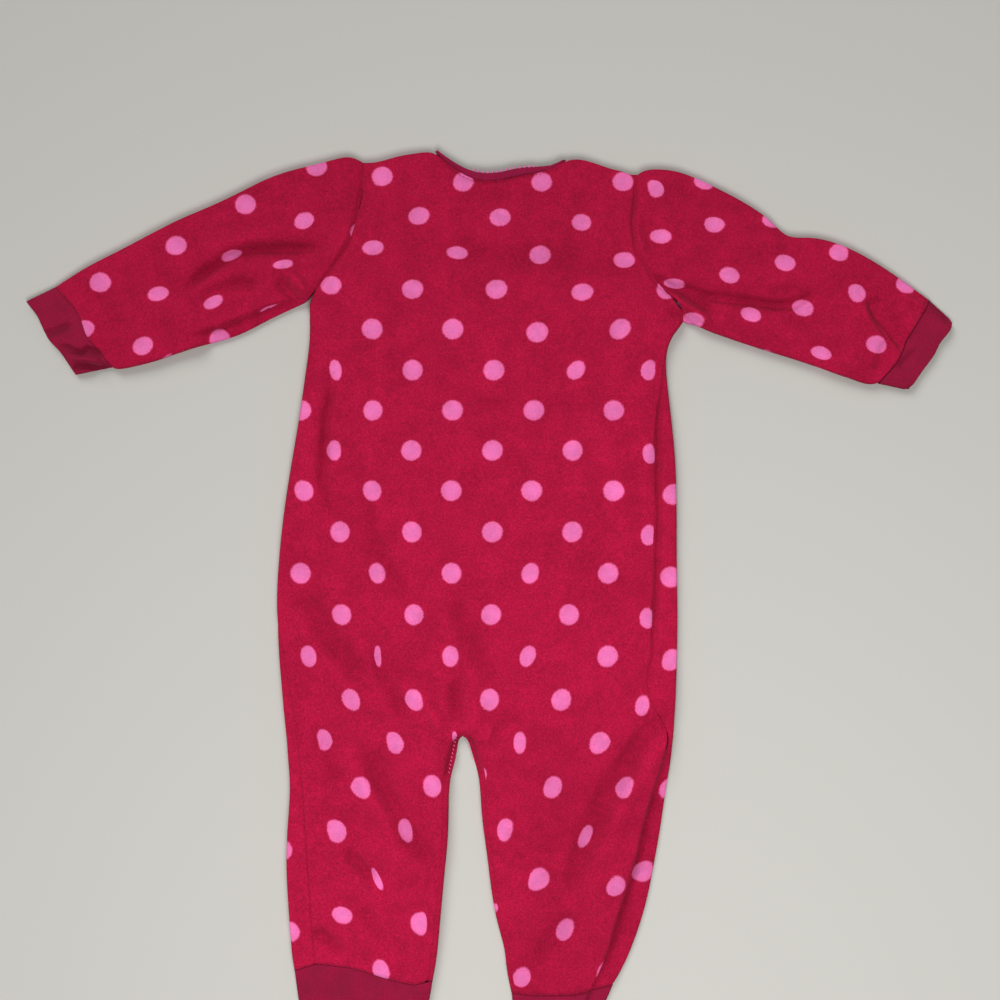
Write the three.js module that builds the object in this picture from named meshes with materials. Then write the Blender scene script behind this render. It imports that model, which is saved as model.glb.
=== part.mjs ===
import * as THREE from "three"

// A toddler's fleece one-piece, laid flat with its back up. Sizes are in mm.
// +X is to the right of the laid garment, +Y is towards the neck, +Z is up.

// Driving sizes
const fleece = 2
const rib = 1.6
const seamGap = 0.3
const backHeight = 4.8
const foldSwing = 1.7
const foldInset = foldSwing + fleece / 2
const zipHalfGap = 4.5
const zipLastRow = 16
const frontNeckDrop = 62
const ankleCuffLength = 28
const neckbandWidth = 6.2
const halfColumns = 10
const foldSteps = 4
const tuckedHeight = 3.4
const overlapHeight = 8
const overlapRadius = 1.15
const overlapFlat = 12
const overlapFade = 34
const armholeRow = 5

const torsoRows = [
  { leftX: -100, leftY: 341.6, leftSeam: 0, rightX: 118.4, rightY: 332, rightSeam: 0 },
  { leftX: -100.3, leftY: 321.6, leftSeam: 0, rightX: 116.8, rightY: 312.8, rightSeam: 0 },
  { leftX: -104.6, leftY: 300, leftSeam: 0, rightX: 115.1, rightY: 291.2, rightSeam: 0 },
  { leftX: -111, leftY: 277.6, leftSeam: 0, rightX: 118, rightY: 270.4, rightSeam: 0 },
  { leftX: -126.4, leftY: 256, leftSeam: 0, rightX: 131.8, rightY: 248, rightSeam: 0 },
  { leftX: -144, leftY: 232.8, leftSeam: 0, rightX: 154.4, rightY: 226.4, rightSeam: 0 },
  { leftX: -143.1, leftY: 217.6, leftSeam: -2.7, rightX: 149.1, rightY: 208, rightSeam: -2.7 },
  { leftX: -142.9, leftY: 198.4, leftSeam: -2.7, rightX: 142.2, rightY: 193.6, rightSeam: -2.7 },
  { leftX: -146.2, leftY: 176, leftSeam: -2.7, rightX: 141.7, rightY: 174.4, rightSeam: 0.6 },
  { leftX: -149.8, leftY: 148.8, leftSeam: -2.7, rightX: 144.6, rightY: 148.8, rightSeam: 7.5 },
  { leftX: -154.4, leftY: 120, leftSeam: -2.7, rightX: 148, rightY: 120, rightSeam: 13.3 },
  { leftX: -159.6, leftY: 91.2, leftSeam: -2.7, rightX: 150.1, rightY: 91.2, rightSeam: 14.6 },
  { leftX: -163.9, leftY: 62.4, leftSeam: -2.7, rightX: 150.4, rightY: 62.4, rightSeam: 14.8 },
  { leftX: -167.2, leftY: 33.6, leftSeam: -2.7, rightX: 150.4, rightY: 33.6, rightSeam: 16.6 },
  { leftX: -169.4, leftY: 4.8, leftSeam: -2.7, rightX: 150.7, rightY: 4.8, rightSeam: 17.5 },
  { leftX: -170, leftY: -24, leftSeam: -2.7, rightX: 151.2, rightY: -24, rightSeam: 17.4 },
  { leftX: -168.6, leftY: -49.6, leftSeam: 2, rightX: 150.7, rightY: -49.6, rightSeam: 19.6 },
  { leftX: -166.5, leftY: -72, leftSeam: 3.8, rightX: 150.1, rightY: -72, rightSeam: 22.6 },
  { leftX: -165, leftY: -89.6, leftSeam: 5.2, rightX: 149.4, rightY: -89.6, rightSeam: 17.9 },
  { leftX: -163.8, leftY: -102.4, leftSeam: 5.9, rightX: 148.7, rightY: -102.4, rightSeam: 9.3 },
  { leftX: -162.8, leftY: -112, leftSeam: 6.2, rightX: 148.1, rightY: -112, rightSeam: 3.2 },
]
const legRows = [
  { leftX: -161.9, leftY: -120, leftSeam: 6.4, rightX: 147.5, rightY: -120, strip: 1, foldX: 142.6, turn: 50, under: 0.6 },
  { leftX: -161.4, leftY: -128, leftSeam: 6.7, rightX: 146.7, rightY: -128, strip: 3, foldX: 140.4, turn: 110, under: 0.6 },
  { leftX: -160.7, leftY: -137.6, leftSeam: 7.1, rightX: 145.8, rightY: -137.6, strip: 8, foldX: 137.8, turn: 180, under: 1.5 },
  { leftX: -159.6, leftY: -149.6, leftSeam: 7.3, rightX: 143.6, rightY: -149.6, strip: 14, foldX: 134, turn: 180, under: 5 },
  { leftX: -159.5, leftY: -164.8, leftSeam: 8.6, rightX: 141.2, rightY: -164.8, strip: 19, foldX: 129.2, turn: 180, under: 8 },
  { leftX: -161, leftY: -184, leftSeam: 11.4, rightX: 138.5, rightY: -184, strip: 21.7, foldX: 124.1, turn: 180, under: 8 },
  { leftX: -162.3, leftY: -204.8, leftSeam: 14.1, rightX: 135.2, rightY: -204.8, strip: 23, foldX: 119.6, turn: 180, under: 8 },
  { leftX: -162.4, leftY: -225.6, leftSeam: 15.7, rightX: 131.2, rightY: -225.6, strip: 24, foldX: 114.6, turn: 180, under: 8 },
  { leftX: -161.2, leftY: -246.4, leftSeam: 16.1, rightX: 127.4, rightY: -246.4, strip: 27.6, foldX: 107.1, turn: 180, under: 8 },
  { leftX: -159.8, leftY: -267.2, leftSeam: 15.8, rightX: 121.4, rightY: -267.2, strip: 28, foldX: 100.6, turn: 180, under: 8 },
  { leftX: -158.7, leftY: -284.8, leftSeam: 15.4, rightX: 115.2, rightY: -286.4, strip: 26, foldX: 96.3, turn: 180, under: 8 },
  { leftX: -158, leftY: -295.2, leftSeam: 15.9, rightX: 108.6, rightY: -302.4, strip: 26.4, foldX: 89.5, turn: 180, under: 8 },
  { leftX: -156, leftY: -304.8, leftSeam: 14.9, rightX: 99.8, rightY: -316, strip: 26.3, foldX: 80.8, turn: 180, under: 8 },
]
const innerRows = [
  { leftX: -20.8, leftY: -117.6, leftOutX: 0, leftOutY: -1, rightX: -20.8, rightY: -117.6, rightOutX: 0, rightOutY: -1, wrap: 0.5 },
  { leftX: -24, leftY: -119.4, leftOutX: 0.89, leftOutY: -0.45, rightX: -17.6, rightY: -118.9, rightOutX: -0.84, rightOutY: -0.55, wrap: 1 },
  { leftX: -25.2, leftY: -126.4, leftOutX: 0.99, leftOutY: -0.15, rightX: -15, rightY: -126.4, rightOutX: -0.95, rightOutY: -0.3, wrap: 2 },
  { leftX: -26.6, leftY: -136.8, leftOutX: 0.97, leftOutY: -0.23, rightX: -12, rightY: -136.8, rightOutX: -0.96, rightOutY: -0.29, wrap: 3 },
  { leftX: -30.8, leftY: -149.6, leftOutX: 0.98, leftOutY: -0.19, rightX: -8, rightY: -149.6, rightOutX: -0.98, rightOutY: -0.18, wrap: 2.4 },
  { leftX: -32, leftY: -164.8, leftOutX: 1, leftOutY: -0.03, rightX: -7, rightY: -164.8, rightOutX: -1, rightOutY: -0.06, wrap: 1 },
  { leftX: -32, leftY: -184, leftOutX: 1, leftOutY: -0.02, rightX: -5.9, rightY: -184, rightOutX: -0.99, rightOutY: -0.11, wrap: 0.7 },
  { leftX: -32.9, leftY: -204.8, leftOutX: 1, leftOutY: -0.08, rightX: -2.7, rightY: -204.8, rightOutX: -0.99, rightOutY: -0.14, wrap: 0.7 },
  { leftX: -35.3, leftY: -225.6, leftOutX: 0.99, leftOutY: -0.1, rightX: -0.2, rightY: -225.6, rightOutX: -0.99, rightOutY: -0.12, wrap: 0.7 },
  { leftX: -37.1, leftY: -246.4, leftOutX: 1, leftOutY: -0.09, rightX: 2.4, rightY: -246.4, rightOutX: -0.99, rightOutY: -0.16, wrap: 0.7 },
  { leftX: -39, leftY: -267.2, leftOutX: 1, leftOutY: -0.08, rightX: 6.4, rightY: -267.2, rightOutX: -0.97, rightOutY: -0.25, wrap: 0.7 },
  { leftX: -40.4, leftY: -286.4, leftOutX: 1, leftOutY: -0.09, rightX: 12.8, rightY: -286.4, rightOutX: -0.98, rightOutY: -0.19, wrap: 0.7 },
  { leftX: -42, leftY: -299.2, leftOutX: 0.99, leftOutY: -0.17, rightX: 13.6, rightY: -304, rightOutX: -0.99, rightOutY: -0.14, wrap: 0.7 },
  { leftX: -44.8, leftY: -312, leftOutX: 0.98, leftOutY: -0.21, rightX: 17.6, rightY: -321.6, rightOutX: -0.98, rightOutY: -0.22, wrap: 0.7 },
]
const folds = [
  { name: "left chest crease", fromX: -126.4, fromY: 169.6, toX: -128.8, toY: 137.6, rise: -0.9, width: 4 },
  { name: "left chest crease", fromX: -128.8, fromY: 137.6, toX: -132.8, toY: 88.8, rise: -0.9, width: 4 },
  { name: "left chest roll", fromX: -138.4, fromY: 164, toX: -146.4, toY: 88, rise: 0.9, width: 9 },
  { name: "chest fullness", fromX: -71.2, fromY: 152, toX: 80.8, toY: 136, rise: 0.6, width: 55 },
  { name: "left hip trough", fromX: -155.2, fromY: -4.8, toX: -127.2, toY: -40, rise: -1, width: 7 },
  { name: "left hip trough", fromX: -127.2, fromY: -40, toX: -100.8, toY: -68.8, rise: -1, width: 7 },
  { name: "left hip fullness", fromX: -103.2, fromY: -8, toX: -55.2, toY: -40, rise: 0.8, width: 22 },
  { name: "left thigh crease", fromX: -89.6, fromY: -44.8, toX: -85.6, toY: -61.6, rise: -0.8, width: 4 },
  { name: "left thigh crease", fromX: -85.6, fromY: -61.6, toX: -67.2, toY: -108, rise: -0.8, width: 4 },
  { name: "left thigh roll", fromX: -71.2, fromY: -52, toX: -51.2, toY: -104, rise: 0.9, width: 11 },
  { name: "left shin crease", fromX: -128, fromY: -110.4, toX: -107.2, toY: -163.2, rise: -0.8, width: 5 },
  { name: "left shin crease", fromX: -107.2, fromY: -163.2, toX: -86.4, toY: -239.2, rise: -0.8, width: 5 },
  { name: "left shin roll", fromX: -93.6, fromY: -136, toX: -71.2, toY: -216, rise: 0.7, width: 14 },
  { name: "right thigh trough", fromX: 134.4, fromY: -105.6, toX: 102.4, toY: -148, rise: -1.2, width: 6 },
  { name: "right thigh trough", fromX: 102.4, fromY: -148, toX: 75.2, toY: -208.8, rise: -1.2, width: 6 },
  { name: "right thigh fullness", fromX: 56.8, fromY: -88, toX: 88.8, toY: -120, rise: 0.7, width: 20 },
  { name: "left armpit ridge", fromX: -158.4, fromY: 255.2, toX: -144.8, toY: 236, rise: 1.2, width: 4 },
  { name: "left sleeve crease", fromX: -139.2, fromY: 274.4, toX: -181.6, toY: 274.4, rise: -1, width: 5 },
  { name: "left sleeve crease", fromX: -181.6, fromY: 274.4, toX: -211.2, toY: 262.4, rise: -1, width: 5 },
  { name: "left sleeve crease", fromX: -211.2, fromY: 262.4, toX: -239.2, toY: 240, rise: -1, width: 5 },
  { name: "left sleeve fullness", fromX: -159.2, fromY: 300, toX: -231.2, toY: 272, rise: 0.8, width: 14 },
  { name: "left sleeve fullness", fromX: -167.2, fromY: 244, toX: -231.2, toY: 224, rise: 0.7, width: 11 },
  { name: "left underarm fold", fromX: -146.4, fromY: 240, toX: -177.6, toY: 228.8, rise: 1.2, width: 5 },
  { name: "left underarm fold", fromX: -177.6, fromY: 228.8, toX: -211.2, toY: 216.8, rise: 1.2, width: 5 },
  { name: "left underarm tuck", fromX: -151.2, fromY: 228, toX: -181.6, toY: 216.8, rise: -1.3, width: 4 },
  { name: "left underarm tuck", fromX: -181.6, fromY: 216.8, toX: -223.2, toY: 201.6, rise: -1.3, width: 4 },
  { name: "right sleeve trough", fromX: 155.2, fromY: 241.6, toX: 181.6, toY: 233.6, rise: -1.2, width: 5 },
  { name: "right sleeve trough", fromX: 181.6, fromY: 233.6, toX: 213.6, toY: 229.6, rise: -1.2, width: 5 },
  { name: "right sleeve trough", fromX: 213.6, fromY: 229.6, toX: 257.6, toY: 236, rise: -1.2, width: 5 },
  { name: "right sleeve low roll", fromX: 168.8, fromY: 220.8, toX: 248.8, toY: 210.4, rise: 1, width: 10 },
  { name: "right sleeve fullness", fromX: 168.8, fromY: 262.4, toX: 224.8, toY: 252, rise: 0.7, width: 17 },
  { name: "right sleeve notch", fromX: 236, fromY: 282.4, toX: 248.8, toY: 262.4, rise: -0.9, width: 6 },
  { name: "right cuff roll", fromX: 300.8, fromY: 229.6, toX: 317.6, toY: 206.4, rise: 1.4, width: 5 },
  { name: "right cuff roll", fromX: 317.6, fromY: 206.4, toX: 326.4, toY: 186.4, rise: 1.4, width: 5 },
  { name: "right armpit fold", fromX: 131.2, fromY: 251.2, toX: 160.8, toY: 235.2, rise: 1.3, width: 4 },
  { name: "right armpit fold", fromX: 160.8, fromY: 235.2, toX: 179.2, toY: 224.8, rise: 1.3, width: 4 },
]
const neckSeam = [
  { x: -44, y: 350.4 }, { x: -37.6, y: 344 }, { x: -28.8, y: 337.6 }, { x: -20.8, y: 332 },
  { x: -12, y: 328 }, { x: -4, y: 326.4 }, { x: 7.2, y: 326.8 }, { x: 18.4, y: 329.6 },
  { x: 29.6, y: 332 }, { x: 40.8, y: 333.6 }, { x: 48.8, y: 335.2 }, { x: 55.2, y: 339.2 },
  { x: 61.6, y: 343.2 },
]
const leftShoulder = [
  { x: -100, y: 341.6 }, { x: -89.6, y: 341.6 }, { x: -80.8, y: 344.8 }, { x: -68, y: 348 },
  { x: -55.2, y: 349.6 }, { x: -44, y: 351.2 },
]
const rightShoulder = [
  { x: 63.2, y: 344.8 }, { x: 73.6, y: 344.8 }, { x: 85.6, y: 341.2 }, { x: 93.6, y: 337.6 },
  { x: 104.8, y: 335.2 }, { x: 118.4, y: 332 },
]
const leftAnkle = [
  { x: -156, y: -304.4 }, { x: -139.2, y: -298.4 }, { x: -108.8, y: -301.8 }, { x: -77.6, y: -312 },
  { x: -60, y: -316 }, { x: -44.8, y: -312 },
]
const rightAnkle = [
  { x: 17.6, y: -321.6 }, { x: 32.8, y: -324.4 }, { x: 66.4, y: -323.2 }, { x: 99.8, y: -316 },
]
const leftSleeveRows = [
  { topX: -111.2, topY: 348.4, lowX: -157.6, lowY: 225.2 },
  { topX: -128.8, topY: 342.4, lowX: -177.6, lowY: 216 },
  { topX: -151.2, topY: 337.6, lowX: -196, lowY: 205.6 },
  { topX: -175.2, topY: 330.4, lowX: -213.6, lowY: 199.2 },
  { topX: -199.2, topY: 317.6, lowX: -231.2, lowY: 195.2 },
  { topX: -223.2, topY: 306.4, lowX: -250.4, lowY: 188.8 },
  { topX: -251.2, topY: 295.2, lowX: -268, lowY: 182.4 },
  { topX: -279.2, topY: 280, lowX: -280.8, lowY: 179.2 },
  { topX: -304.8, topY: 267.2, lowX: -290.4, lowY: 177.2 },
  { topX: -325.6, topY: 256.8, lowX: -296.8, lowY: 176 },
  { topX: -346.4, topY: 243.2, lowX: -301.6, lowY: 178 },
]
const rightSleeveRows = [
  { topX: 124.8, topY: 336.8, lowX: 168, lowY: 209.6 },
  { topX: 143.2, topY: 336.8, lowX: 186.4, lowY: 203.2 },
  { topX: 162.4, topY: 331.2, lowX: 204.8, lowY: 196.8 },
  { topX: 184.8, topY: 320, lowX: 223.2, lowY: 190.8 },
  { topX: 207.2, topY: 308, lowX: 240.8, lowY: 185.6 },
  { topX: 224.8, topY: 296, lowX: 256.8, lowY: 180.4 },
  { topX: 237.6, topY: 280.8, lowX: 271.2, lowY: 175.2 },
  { topX: 255.2, topY: 283.2, lowX: 282.4, lowY: 171.2 },
  { topX: 277.6, topY: 278.4, lowX: 292, lowY: 168 },
  { topX: 303.2, topY: 266, lowX: 300, lowY: 164.8 },
  { topX: 328.8, topY: 249.6, lowX: 305.6, lowY: 164 },
  { topX: 352.8, topY: 232, lowX: 311.2, lowY: 165.2 },
]
const leftWristSeam = [
  { x: -346.4, y: 243.2 }, { x: -340, y: 234.4 }, { x: -332.8, y: 228 }, { x: -328, y: 221.6 },
  { x: -324.8, y: 213.6 }, { x: -322, y: 203.2 }, { x: -316.8, y: 197.6 }, { x: -309.6, y: 189.6 },
  { x: -301.6, y: 178 },
]
const rightWristSeam = [
  { x: 352.8, y: 232 }, { x: 349.6, y: 224.8 }, { x: 344.8, y: 216.8 }, { x: 338.8, y: 208 },
  { x: 334.4, y: 200 }, { x: 330.4, y: 189.6 }, { x: 324.8, y: 179.2 }, { x: 317.6, y: 172 },
  { x: 311.2, y: 165.2 },
]
const leftWristEnd = [
  { x: -370.8, y: 231.2 }, { x: -364.8, y: 224 }, { x: -360, y: 217.6 }, { x: -356.4, y: 208 },
  { x: -352, y: 199.2 }, { x: -344.8, y: 192.8 }, { x: -340.8, y: 188 }, { x: -335.2, y: 179.2 },
  { x: -330.4, y: 172 },
]
const rightWristEnd = [
  { x: 371.2, y: 215.2 }, { x: 369.6, y: 208 }, { x: 364, y: 201.6 }, { x: 359.2, y: 196 },
  { x: 357.6, y: 189.6 }, { x: 352.8, y: 183.2 }, { x: 347.2, y: 176 }, { x: 342.4, y: 168.8 },
  { x: 336, y: 159.6 },
]
const mix = (a, b, t) => a + (b - a) * t
const ease = (t) => {
  const u = Math.min(1, Math.max(0, t))
  return u * u * (3 - 2 * u)
}

// Height of the middle of the upper cloth, with the garment's large folds in it.
function upperHeight(x, y) {
  let z = backHeight
  for (const f of folds) {
    const dx = f.toX - f.fromX
    const dy = f.toY - f.fromY
    const t = Math.min(1, Math.max(0, ((x - f.fromX) * dx + (y - f.fromY) * dy) / (dx * dx + dy * dy)))
    const away = Math.hypot(x - f.fromX - t * dx, y - f.fromY - t * dy) / f.width
    z += f.rise * Math.exp(-away * away)
  }
  return Math.max(3.6, z)
}

// A sheet of cloth: points on its middle, joined in fours.
class Sheet {
  constructor() {
    this.points = []
    this.fours = []
    this.directions = new Map()
  }
  point(x, y, z) {
    this.points.push(new THREE.Vector3(x, y, z))
    return this.points.length - 1
  }
  // Sets which way the wall stands at an edge that meets another piece.
  stand(n, x, y, z) {
    this.directions.set(n, new THREE.Vector3(x, y, z).normalize())
    return n
  }
  // Takes the part along a seam's outward direction out of the wall's direction there.
  square(n, x, y) {
    this.directions.set(n, [x / Math.hypot(x, y), y / Math.hypot(x, y)])
    return n
  }
  four(a, b, c, d) {
    this.fours.push([a, b, c, d])
  }
  // Joins a table of point numbers, row by row, wherever a cell has all its corners.
  grid(rows, closed = false) {
    for (let i = 0; i + 1 < rows.length; i++) {
      const last = closed ? rows[i].length : rows[i].length - 1
      for (let j = 0; j < last; j++) {
        const k = (j + 1) % rows[i].length
        const cell = [rows[i][j], rows[i][k], rows[i + 1][k], rows[i + 1][j]]
        if (cell.every((n) => n !== undefined)) this.four(...cell)
      }
    }
  }
  // Gives the sheet its wall, half of it on each side of the middle, and closes its edges.
  solid(wall) {
    const count = this.points.length
    const normals = this.points.map(() => new THREE.Vector3())
    const side = new THREE.Vector3()
    const other = new THREE.Vector3()
    for (const f of this.fours) {
      for (let k = 0; k < 4; k++) {
        const here = this.points[f[k]]
        side.subVectors(this.points[f[(k + 1) % 4]], here)
        other.subVectors(this.points[f[(k + 3) % 4]], here)
        const angle = side.angleTo(other)
        normals[f[k]].add(side.clone().cross(other).normalize().multiplyScalar(angle))
      }
    }
    for (const [n, direction] of this.directions) {
      if (Array.isArray(direction)) {
        const part = normals[n].x * direction[0] + normals[n].y * direction[1]
        normals[n].x -= part * direction[0]
        normals[n].y -= part * direction[1]
      } else {
        const sign = normals[n].dot(direction) < 0 ? -1 : 1
        normals[n].copy(direction).multiplyScalar(sign)
      }
    }
    const flat = []
    for (const sign of [1, -1]) {
      this.points.forEach((p, i) => {
        const moved = normals[i].clone().normalize().multiplyScalar((sign * wall) / 2).add(p)
        flat.push(moved.x, moved.y, moved.z)
      })
    }
    const at = (n) => new THREE.Vector3(flat[3 * n], flat[3 * n + 1], flat[3 * n + 2])
    const index = []
    const edges = new Map()
    for (const f of this.fours) {
      const short = this.points[f[0]].distanceTo(this.points[f[2]]) <= this.points[f[1]].distanceTo(this.points[f[3]])
      const halves = short
        ? [[f[0], f[1], f[2]], [f[0], f[2], f[3]]]
        : [[f[0], f[1], f[3]], [f[1], f[2], f[3]]]
      for (const [a, b, c] of halves) {
        index.push(a, b, c)
        index.push(count + a, count + c, count + b)
      }
      for (let k = 0; k < 4; k++) edges.set(`${f[k]} ${f[(k + 1) % 4]}`, [f[k], f[(k + 1) % 4]])
    }
    for (const [a, b] of edges.values()) {
      if (edges.has(`${b} ${a}`)) continue
      const one = at(b).distanceTo(at(count + a))
      const two = at(a).distanceTo(at(count + b))
      if (one < two) index.push(b, a, count + a, b, count + a, count + b)
      else index.push(b, a, count + b, a, count + a, count + b)
    }
    let volume = 0
    for (let k = 0; k < index.length; k += 3) volume += at(index[k]).dot(at(index[k + 1]).cross(at(index[k + 2])))
    if (volume < 0) for (let k = 0; k < index.length; k += 3) [index[k], index[k + 1]] = [index[k + 1], index[k]]
    const used = new Set(index)
    const renumber = new Map()
    const kept = []
    for (let n = 0; n < 2 * count; n++) {
      if (!used.has(n)) continue
      renumber.set(n, kept.length / 3)
      kept.push(flat[3 * n], flat[3 * n + 1], flat[3 * n + 2])
    }
    const geometry = new THREE.BufferGeometry()
    geometry.setAttribute("position", new THREE.Float32BufferAttribute(kept, 3))
    geometry.setIndex(index.map((n) => renumber.get(n)))
    geometry.computeVertexNormals()
    return geometry
  }
}

// The y of a curve given as points with rising x.
function curveY(points, x) {
  if (x <= points[0].x) return points[0].y
  for (let k = 1; k < points.length; k++) {
    const a = points[k - 1]
    const b = points[k]
    if (x <= b.x) return mix(a.y, b.y, (x - a.x) / (b.x - a.x))
  }
  return points[points.length - 1].y
}

// A point at a share of a line of points.
function along(points, share) {
  const lengths = [0]
  for (let k = 1; k < points.length; k++) {
    lengths.push(lengths[k - 1] + Math.hypot(points[k].x - points[k - 1].x, points[k].y - points[k - 1].y))
  }
  const want = share * lengths[lengths.length - 1]
  let k = 1
  while (k < points.length - 1 && lengths[k] < want) k++
  const t = (want - lengths[k - 1]) / (lengths[k] - lengths[k - 1])
  return { x: mix(points[k - 1].x, points[k].x, t), y: mix(points[k - 1].y, points[k].y, t) }
}

// Where the body folds over at a side. way is -1 at the left and 1 at the right, low and high are
// the heights of the middle of the two cloths, and travel runs from the lower one round and inwards.
function sideFold(edge, way, travel, low, high, y) {
  const half = (high(edge - way * foldInset, y) - low) / 2
  const round = (Math.PI * (foldSwing + half)) / 2
  const base = edge - way * foldInset
  if (travel <= round) {
    const turn = (Math.PI * travel) / round
    return {
      x: base + way * foldSwing * Math.sin(turn),
      z: low + half * (1 - Math.cos(turn)),
      stand: [way * Math.sin(turn), 0, -Math.cos(turn)],
    }
  }
  const x = base - way * (travel - round)
  return { x, z: high(x, y), stand: [0, 0, 1] }
}
const foldLength = (high, low) => (Math.PI * (foldSwing + (high - low) / 2)) / 2

const rowsOfBody = [...torsoRows, ...legRows]
const crotchRow = torsoRows.length - 1
const lastRow = rowsOfBody.length - 1
const straightRow = lastRow - 3
const neckCentre = (torsoRows[0].leftX + torsoRows[0].rightX) / 2 + 0.4
const neckLeft = neckSeam[0]
const neckRight = neckSeam[neckSeam.length - 1]

// Share of the top edge's shape that a row still has.
const topShare = (row) => [1, 0.7, 0.42, 0.18, 0][Math.min(row, 4)]
// Share of the ankle's shape that a row has.
const ankleShare = (row) => [0, 0.36, 0.68, 1][Math.max(0, row - straightRow)]

// The line down the middle of a panel, to the top of the gap between the legs.
function centreX(row) {
  return mix(neckCentre, innerRows[0].leftX, Math.min(1, row / crotchRow))
}

// The top edge of a panel at a column, counted from the left shoulder: its x, y, and how far
// it belongs to the shoulder, where it folds over, and not to the neck.
function topEdge(column, front) {
  const neckColumns = halfColumns / 2
  const shoulderLeft = torsoRows[0].leftX + seamGap / 2
  const shoulderRight = torsoRows[0].rightX - seamGap / 2
  if (column < neckColumns) {
    const x = mix(shoulderLeft, neckLeft.x, column / neckColumns)
    return { x, y: curveY(leftShoulder, x) - foldInset, shoulder: 1 }
  }
  if (column > 3 * neckColumns) {
    const x = mix(neckRight.x, shoulderRight, (column - 3 * neckColumns) / neckColumns)
    return { x, y: curveY(rightShoulder, x) - foldInset, shoulder: 1 }
  }
  const x = mix(neckLeft.x, neckRight.x, (column - neckColumns) / (2 * neckColumns))
  const u = (2 * (x - neckLeft.x)) / (neckRight.x - neckLeft.x) - 1
  const chord = mix(neckLeft.y, neckRight.y, (u + 1) / 2)
  const seam = front ? chord - frontNeckDrop * (1 - u * u) : curveY(neckSeam, x)
  const atEnd = Math.abs(u) > 0.999 ? 0.5 : 0
  return { x, y: seam - foldInset + 0.3, shoulder: atEnd }
}

// One cloth of the body between its two sides, as rows of x and y. The columns run from the
// left side to the middle and on to the right side.
function bodyPoint(row, column, left, right, front) {
  const r = rowsOfBody[row]
  const total = 2 * halfColumns
  const share = column / total
  let x
  let y
  if (row <= crotchRow) {
    const middle = centreX(row)
    const apexDrop = row === crotchRow ? innerRows[0].leftY + (front ? foldInset : foldInset + 0.8) : undefined
    const middleY = apexDrop ?? mix(r.leftY, r.rightY, 0.5)
    const t = column <= halfColumns ? column / halfColumns : (column - halfColumns) / halfColumns
    x = column <= halfColumns ? mix(left, middle, t) : mix(middle, right, t)
    y = column <= halfColumns ? mix(r.leftY, middleY, t) : mix(middleY, r.rightY, t)
    const top = topEdge(column, front)
    const level = mix(torsoRows[0].leftY, torsoRows[0].rightY, share)
    const w = topShare(row)
    x = mix(x, top.x + (column === 0 ? left - torsoRows[0].leftX - seamGap / 2 : 0), column === 0 || column === total ? 0 : w)
    y += (top.y - level) * w
  }
  return { x, y }
}

// The edge of a leg along the gap between the legs, moved inwards from the photo's outline.
function innerPoint(row, leg, inset) {
  const r = innerRows[row - crotchRow]
  return leg === "left"
    ? { x: r.leftX - r.leftOutX * inset, y: r.leftY - r.leftOutY * inset }
    : { x: r.rightX - r.rightOutX * inset, y: r.rightY - r.rightOutY * inset }
}

// Moves an x to the nearest corner of a seam, if that is nearer than half a column.
function snapped(x, points, spacing) {
  for (const p of points) if (Math.abs(p.x - x) < spacing / 2) return p.x
  return x
}

function legPoint(row, leg, share, outer, inner, outerY) {
  let x = mix(outer, inner.x, share)
  if (row === lastRow && share > 0 && share < 1) {
    const corners = (leg === "left" ? leftAnkle : rightAnkle).slice(1, -1)
    x = snapped(x, corners, Math.abs(inner.x - outer) / halfColumns)
  }
  const y = mix(outerY, inner.y, share)
  const w = ankleShare(row)
  if (w === 0) return { x, y }
  const start = mix(rowsOfBody[straightRow].leftY, innerRows[straightRow - crotchRow].leftY, 0.5)
  const ankle = curveY(leg === "left" ? leftAnkle : rightAnkle, x) + seamGap / 2
  return { x, y: mix(start, ankle, w) }
}

// Height of the back's cloth, which lies raised over the tuck in the right leg.
function backZ(row, x, y) {
  const z = upperHeight(x, y)
  const r = rowsOfBody[row]
  const lift = row < crotchRow - 1 ? 0 : row === crotchRow - 1 ? 0.12 : row === crotchRow ? 0.7 : 1
  if (lift === 0) return z
  const edge = r.foldX ?? r.rightX - foldInset
  const near = 1 - ease((edge - x - overlapFlat) / overlapFade)
  return mix(z, overlapHeight, lift * near)
}

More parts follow.
